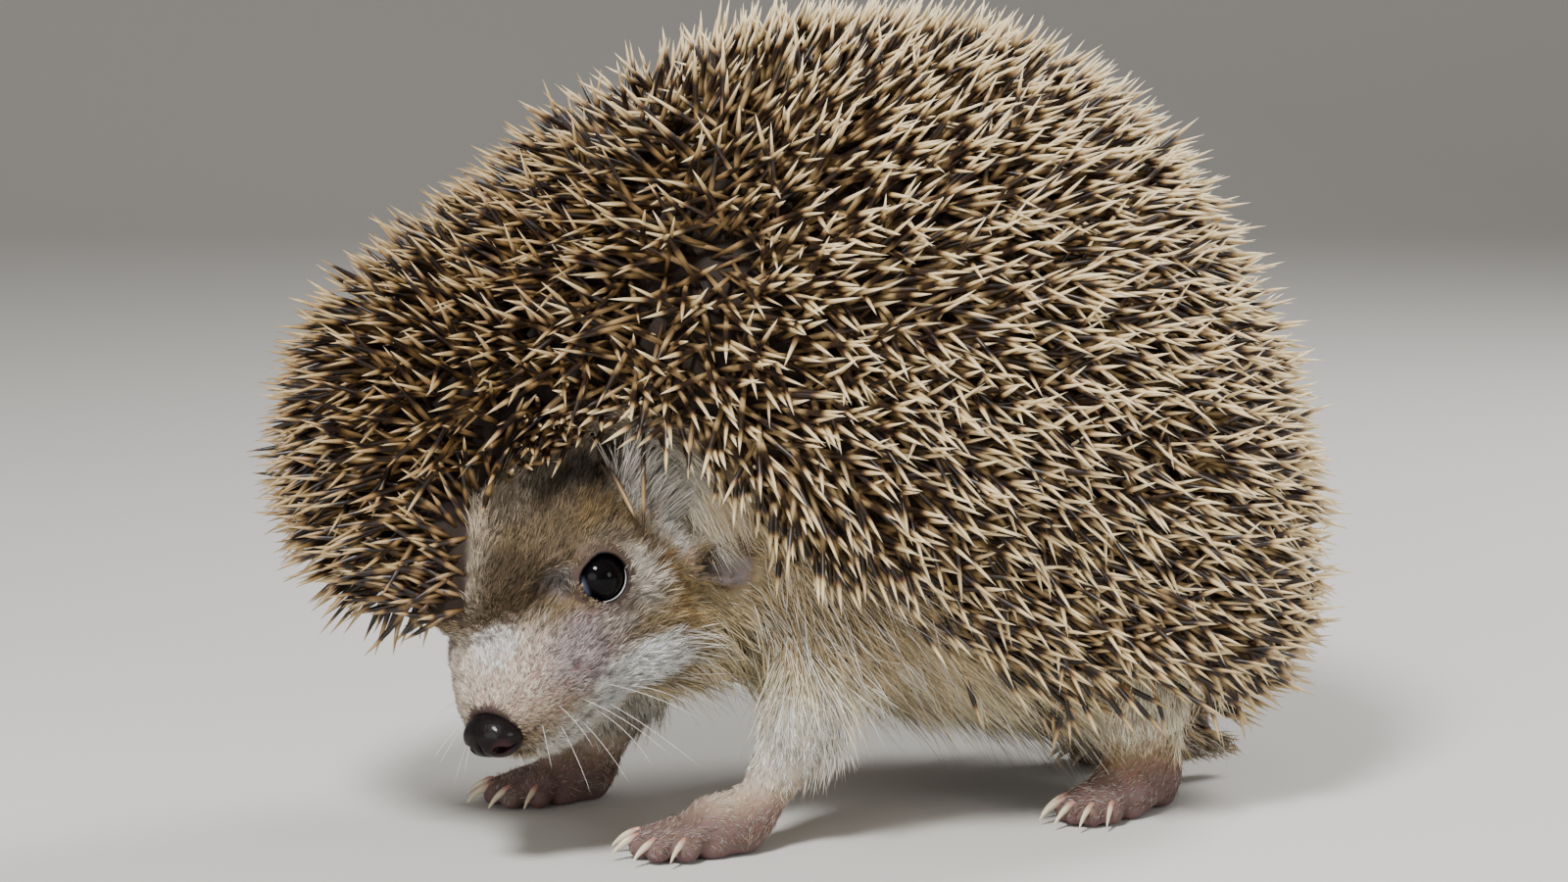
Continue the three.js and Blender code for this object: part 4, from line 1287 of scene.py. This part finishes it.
def tufts(name, count, weight, hairs, length_at, radius, lift, profile, seed, root_map, scatter_by,
          droop, swing, pale, contrast=0.2):
    """Tufts of hairs that share a place, a colour and, but for a little, a direction. Lift and swing are in
    degrees, pale is the share of light hairs, and contrast is how much the tufts differ in brightness."""
    random = np.random.default_rng(seed)
    place, normal = scatter(count, weight, random)
    flow = lie(place) + wander(place, 5.0, seed)[:, None] * 0.12
    tone = np.repeat(random.normal(0, 1, count), hairs)
    shade = np.repeat(markings_light_and_shade(place), hairs, 0)
    at = np.repeat(root_map(place), hairs, 0)
    lifts = np.repeat(lift + random.normal(0, 5, count), hairs) + random.normal(0, 4, count * hairs)
    swings = np.repeat(random.normal(0, swing, count), hairs) + random.normal(0, swing * 0.45, count * hairs)
    length = np.repeat(length_at(place) * random.uniform(0.8, 1.15, count), hairs)
    length = length * random.uniform(0.8, 1.1, count * hairs)
    normal, flow = np.repeat(normal, hairs, 0), np.repeat(flow, hairs, 0)
    way = leaning(normal, flow, np.clip(lifts, 3, 80), swings)
    jitter = random.normal(0, scatter_by, (count * hairs, 3))
    root = np.repeat(place, hairs, 0) + jitter - normal * ((jitter * normal).sum(1)[:, None] + 0.12)
    bend = np.column_stack([np.zeros(len(root)), np.zeros(len(root)), -droop * np.ones(len(root))])
    bend = bend + random.normal(0, 0.05, bend.shape) - normal * 0.05 - 0.5 * jitter / length[:, None]
    thick = radius * random.uniform(0.75, 1.15, len(root))
    # None reaches the floor: the lowest it can come is root - length * (the drop of way and bend).
    drop = np.maximum(-way[:, 2], 0) + np.maximum(-bend[:, 2], 0) + 0.02
    length = np.minimum(length, np.maximum(root[:, 2] - 0.5, 0.2) / drop)
    made = strands(root, way, length, thick, bend, profile, 3)
    each = (len(profile) - 1) * 3 + 1
    light = random.random(len(root)) < pale
    own = 1 + contrast * (tone[:, None] + 0.7 * random.normal(0, 1, (len(root), 1)))
    shade = np.where(light[:, None], shade * 0.35 + WHITE * 0.65, shade * np.clip(own, 0.35, 1.6))
    number = np.tile(np.arange(hairs) / hairs, count)
    ring = np.append(np.tile(np.arange(3) / 3, len(profile) - 1), 0.5) / hairs
    across = np.repeat(number, each) + np.tile(ring, len(root)) - 0.5
    at = np.repeat(at, each, 0) + PATCH * np.column_stack([across, made[2] - 0.5])
    numbers = {"along": made[2], "marking_and_shade": np.clip(np.repeat(shade, each, 0), 0, 1)}
    print(name.upper(), len(root), coat_pieces(name, made, each, numbers, at, hair))


def painted_root_shade_group():
    """Scales a colour by a share that goes evenly from the one at a hair's root to the one at its tip:
    painted shade deep in the coat towards the root, and painted light on the tip where the share passes 1.
    """
    given = [("Colour", "NodeSocketColor")]
    given += [(label, "NodeSocketFloat") for label in ("Along", "At Root", "At Tip")]
    group, nodes, links, given, gives = node_group("root to tip", given, [("Colour", "NodeSocketColor")])
    share = nodes.new("ShaderNodeMapRange")
    scaled = nodes.new("ShaderNodeVectorMath")
    scaled.operation = "SCALE"
    links.new(given.outputs["Along"], share.inputs["Value"])
    links.new(given.outputs["At Root"], share.inputs["To Min"])
    links.new(given.outputs["At Tip"], share.inputs["To Max"])
    links.new(given.outputs["Colour"], scaled.inputs[0])
    links.new(share.outputs["Result"], scaled.inputs["Scale"])
    links.new(scaled.outputs["Vector"], gives.inputs["Colour"])
    return group


hair, shader, nodes, links = material("fur", 0.55, Specular_IOR_Level=0.2)
painted_root_shade = nodes.new("ShaderNodeGroup")
painted_root_shade.node_tree = painted_root_shade_group()
# Each hair is half as bright at its root and brighter than its colour at its tip: painted shade deep in the
# coat and painted light on the tips.
painted_root_shade.inputs["At Root"].default_value, painted_root_shade.inputs["At Tip"].default_value = 0.5, 1.16
links.new(reads(nodes, "along", "Fac"), painted_root_shade.inputs["Along"])
links.new(reads(nodes, "marking_and_shade"), painted_root_shade.inputs["Colour"])
links.new(painted_root_shade.outputs["Colour"], shader.inputs["Base Color"])

SPIKE = [(0, 1.0), (1, 0)]
SHORT = [(0, 1.0), (0.5, 0.85), (1, 0)]
LONG = [(0, 0.8), (0.3, 1.0), (0.68, 0.7), (1, 0)]


def furred(p):
    """How thickly fur grows at a place: not among the spines, nor on the nose, lids, inner ear or soles."""
    h = to_head(p)
    eye = np.linalg.norm(sides(h) - [EYE_SPREAD, 0, 0], axis=1)
    nose = np.linalg.norm(h - NOSE_AT, axis=1)
    ear = zone((sides(h) - EAR_AT) @ EAR_AXES, [0, -0.4, 0.8], [3.4, 2.4, 6.8], 0.15)
    by_eye = np.maximum(lids(sides(h), 1)[1], eye - 5.6)
    open_skin = step(by_eye, 0.5, 1.1) * step(nose, 4.5, 5.1) * (1 - 0.6 * ear) * step(p[:, 2], 1.6, 3)
    return (1 - mantle_share(p)) * open_skin


def silk_share(p):
    """1 behind the ear and above it, where long pale silky hair runs back and down from the hood."""
    return zone(sides(to_head(p)), [18.6, 18.6, 1.5], [6, 5.6, 12], 0.4)


def from_ear(p):
    """The distance from the middle of the nearer ear."""
    return np.linalg.norm(sides(to_head(p)) - EAR_AT, axis=1)


def face_length(p):
    """Fur on the face, in millimetres: 1.4 round the nose, 3 on the forehead, 4 on the chin, 5 behind the
    cheek and 2.5 more under the hood, down to two fifths of that by the eye and ear."""
    h = sides(to_head(p))
    eye = np.linalg.norm(h - [EYE_SPREAD, 0, 0], axis=1)
    length = 1.4 + 1.7 * step(h[:, 1], -20, -4) + 1.9 * step(h[:, 1], -4, 8) * step(-h[:, 2], -2, 6)
    length = length + 1.0 * step(-h[:, 2], 12.5, 16) * step(-h[:, 1], 10, 15)
    length = length + 2.5 * step(hairline(h), -7, -2) * step(h[:, 2], 4, 9)
    silky = silk_share(p)
    short = (0.42 + 0.58 * step(eye, 5.0, 9)) * (0.4 + 0.6 * step(from_ear(p), 7, 12))
    short = short * (1 - 0.5 * zone((h - EAR_AT) @ EAR_AXES, [0, -0.4, 0.8], [3.4, 2.4, 6.8], 0.15))
    return length * (short + (1 - short) * silky) + 2.0 * silky


def body_length(p):
    """Coarse fur, in millimetres: 8 on the neck, 12 on the flank and 14 along the belly's edge, and shorter
    on the tail and by the ear."""
    side = step(p[:, 1], -34, -10)
    low_down = 1 - step(p[:, 2], 22, 34)
    tail = 1 - step(round_cone(p, *TAIL), 1.5, 4.0)
    return (8 + 4 * side + 2.5 * low_down) * (1 - 0.75 * tail) * (0.45 + 0.55 * step(from_ear(p), 8, 15))


def leg_length(p):
    """Sleek fur, in millimetres: 1.8 at the wrist and heel, 3.6 where the leg leaves the flank."""
    return 1.8 + 1.8 * step(p[:, 2], 8, 24)


def head_map(p):
    return round_map(to_head(p), [0, 2, -5])


def body_map(p):
    return round_map(p, [0, 20, 45])


def leg_map(p):
    """Each leg's bearing and height have a quarter of the unwrap."""
    number = np.argmin(legs(p), axis=0)
    axis = np.array([[*leg["bend"][:2]] for leg in LEGS], float)[number]
    bearing = np.arctan2(p[:, 0] - axis[:, 0], p[:, 1] - axis[:, 1]) / (2 * np.pi) + 0.5
    return np.column_stack([(bearing + number) / 4, np.clip(p[:, 2] / 45, 0, 1)])


def muzzle_share(p):
    """1 on the muzzle, ahead of the cheeks and below the brow."""
    h = to_head(p)
    return (1 - step(h[:, 1], -13, -9)) * (1 - step(h[:, 2], 1.5, 4))


def face_weight(p):
    head, limbs, _ = body_regions(p)
    return furred(p) * head * (1 - limbs) * (1 - muzzle_share(p))


def muzzle_weight(p):
    head, limbs, _ = body_regions(p)
    return furred(p) * head * (1 - limbs) * muzzle_share(p)


def silk_weight(p):
    """The long silky hair that comes out from under the hood, above and behind the ear."""
    return zone(sides(to_head(p)), [17.0, 17.0, 6.0], [5.5, 6, 9], 0.4) * (1 - mantle_share(p))


def body_weight(p):
    head, limbs, _ = body_regions(p)
    nape = 1 + 2.5 * zone(to_head(p), [21, 19, -1], [8, 8, 11])
    thinned = (1 - 0.6 * step(12 - p[:, 2], 0, 6)) * step(from_ear(p), 5, 9)
    return nape * furred(p) * (1 - head) * (1 - limbs) * thinned


def leg_weight(p):
    _, limbs, feet = body_regions(p)
    return furred(p) * limbs * (1 - feet)


def fringe_weight(p):
    """1 along the back of each leg, behind the line from its top to its end."""
    top, end = (np.array([leg[k] for leg in LEGS], float)[np.argmin(legs(p), axis=0)] for k in ("top", "end"))
    line = end[:, 1] + (p[:, 2] - end[:, 2]) * (top[:, 1] - end[:, 1]) / (top[:, 2] - end[:, 2])
    return body_regions(p)[1] * (1 - mantle_share(p)) * step(p[:, 1] - line, 2, 5) * step(p[:, 2], 10, 15)


def foot_weight(p):
    return furred(p) * body_regions(p)[2]


def even_length(length):
    return lambda p: np.full(len(p), length)


tufts("muzzle_fur", 6000, muzzle_weight, 5, face_length, 0.07, 28, SPIKE, 25, head_map,
      scatter_by=0.28, droop=0.0, swing=18, pale=0.14, contrast=0.5)
tufts("face_fur", 6400, face_weight, 5, face_length, 0.076, 18, SHORT, 21, head_map,
      scatter_by=0.33, droop=0.05, swing=13, pale=0.0, contrast=0.24)
tufts("body_fur", 4600, body_weight, 5, body_length, 0.11, 17, LONG, 22, body_map,
      scatter_by=0.7, droop=0.12, swing=13, pale=0.15, contrast=0.22)
tufts("guard_hairs", 900, body_weight, 2, lambda p: body_length(p) * 1.3, 0.09, 24, LONG, 26, body_map,
      scatter_by=0.5, droop=0.2, swing=14, pale=0.6)
tufts("leg_fur", 3700, leg_weight, 5, leg_length, 0.08, 11, SHORT, 23, leg_map,
      scatter_by=0.5, droop=0.05, swing=13, pale=0.12, contrast=0.42)
tufts("silk_hairs", 520, silk_weight, 4, even_length(9.0), 0.072, 24, LONG, 28, head_map,
      scatter_by=0.4, droop=0.1, swing=9, pale=0.75, contrast=0.45)
tufts("leg_fringe", 420, fringe_weight, 3, even_length(6.0), 0.065, 24, LONG, 27, leg_map,
      scatter_by=0.5, droop=0.1, swing=14, pale=0.3)
tufts("foot_fur", 3000, foot_weight, 4, even_length(1.6), 0.055, 18, SPIKE, 24, leg_map,
      scatter_by=0.4, droop=0.0, swing=14, pale=0.3, contrast=0.26)

# ------------------------------------------------------------ whiskers
# Stiff pale hairs in rows on the upper lip, 8 to 19 mm long, that curve back and down.
random = np.random.default_rng(31)
WHISKER_RADIUS = 0.052
# Each whisker's root and reach in the head's coordinates, for the left side and mirrored.
WHISKERS = [
    ([10.4, -15.3, -12.4], [7.4, -3.0, -11.3]), ([10.6, -13.2, -13.4], [10.1, -0.7, -11.3]),
    ([12.4, -8.5, -15.6], [8.7, 1.9, -6.8]), ([9.4, -18.0, -12.2], [5.2, -4.5, -9.0]),
    ([10.4, -17.0, -9.6], [10.0, -0.5, -8.0]), ([8.6, -20.8, -11.2], [4.6, -5.0, -5.5]),
    ([9.4, -20.0, -8.4], [7.0, -3.0, -3.6]), ([11.6, -12.6, -10.4], [11.0, 5.0, -6.0]),
    ([7.4, -22.6, -9.4], [4.0, -5.2, -2.6]),
]
h, reach = np.array(WHISKERS).transpose(1, 0, 2)
h, reach = np.concatenate([h, h * [-1, 1, 1]]), np.concatenate([reach, reach * [-1, 1, 1]])
count = len(h)
nearest = np.argmin(((skin_points[:, None] - from_head(h)[None]) ** 2).sum(-1), axis=0)
root = skin_points[nearest] - skin_normals[nearest] * 0.4
out = unit(reach) @ HEAD_AXES.T + random.normal(0, 0.09, reach.shape)
out = unit(out + skin_normals[nearest] * 0.35 + [0, 0, 0.12])
length = np.linalg.norm(reach, axis=1) * random.uniform(0.9, 1.4, count)
bend = random.normal(0, 0.05, reach.shape) - skin_normals[nearest] * 0.1 - [0, 0, 0.22]
length = np.minimum(length, (root[:, 2] - 0.8) / np.maximum(0.02 - out[:, 2] - bend[:, 2], 0.02))
profile = [(0, 1), (0.14, 0.95), (0.28, 0.86), (0.43, 0.75), (0.58, 0.6), (0.73, 0.44), (0.87, 0.26), (1, 0)]
made = strands(root, out, length, np.full(count, WHISKER_RADIUS), bend, profile, 5)
each = len(made[0]) // count
numbers = {"along": made[2], "marking_and_shade": np.tile(WHITE, (len(made[0]), 1))}
at = np.repeat(head_map(root), each, 0)
print("WHISKERS", coat_pieces("whiskers", made, each, numbers, at, hair))
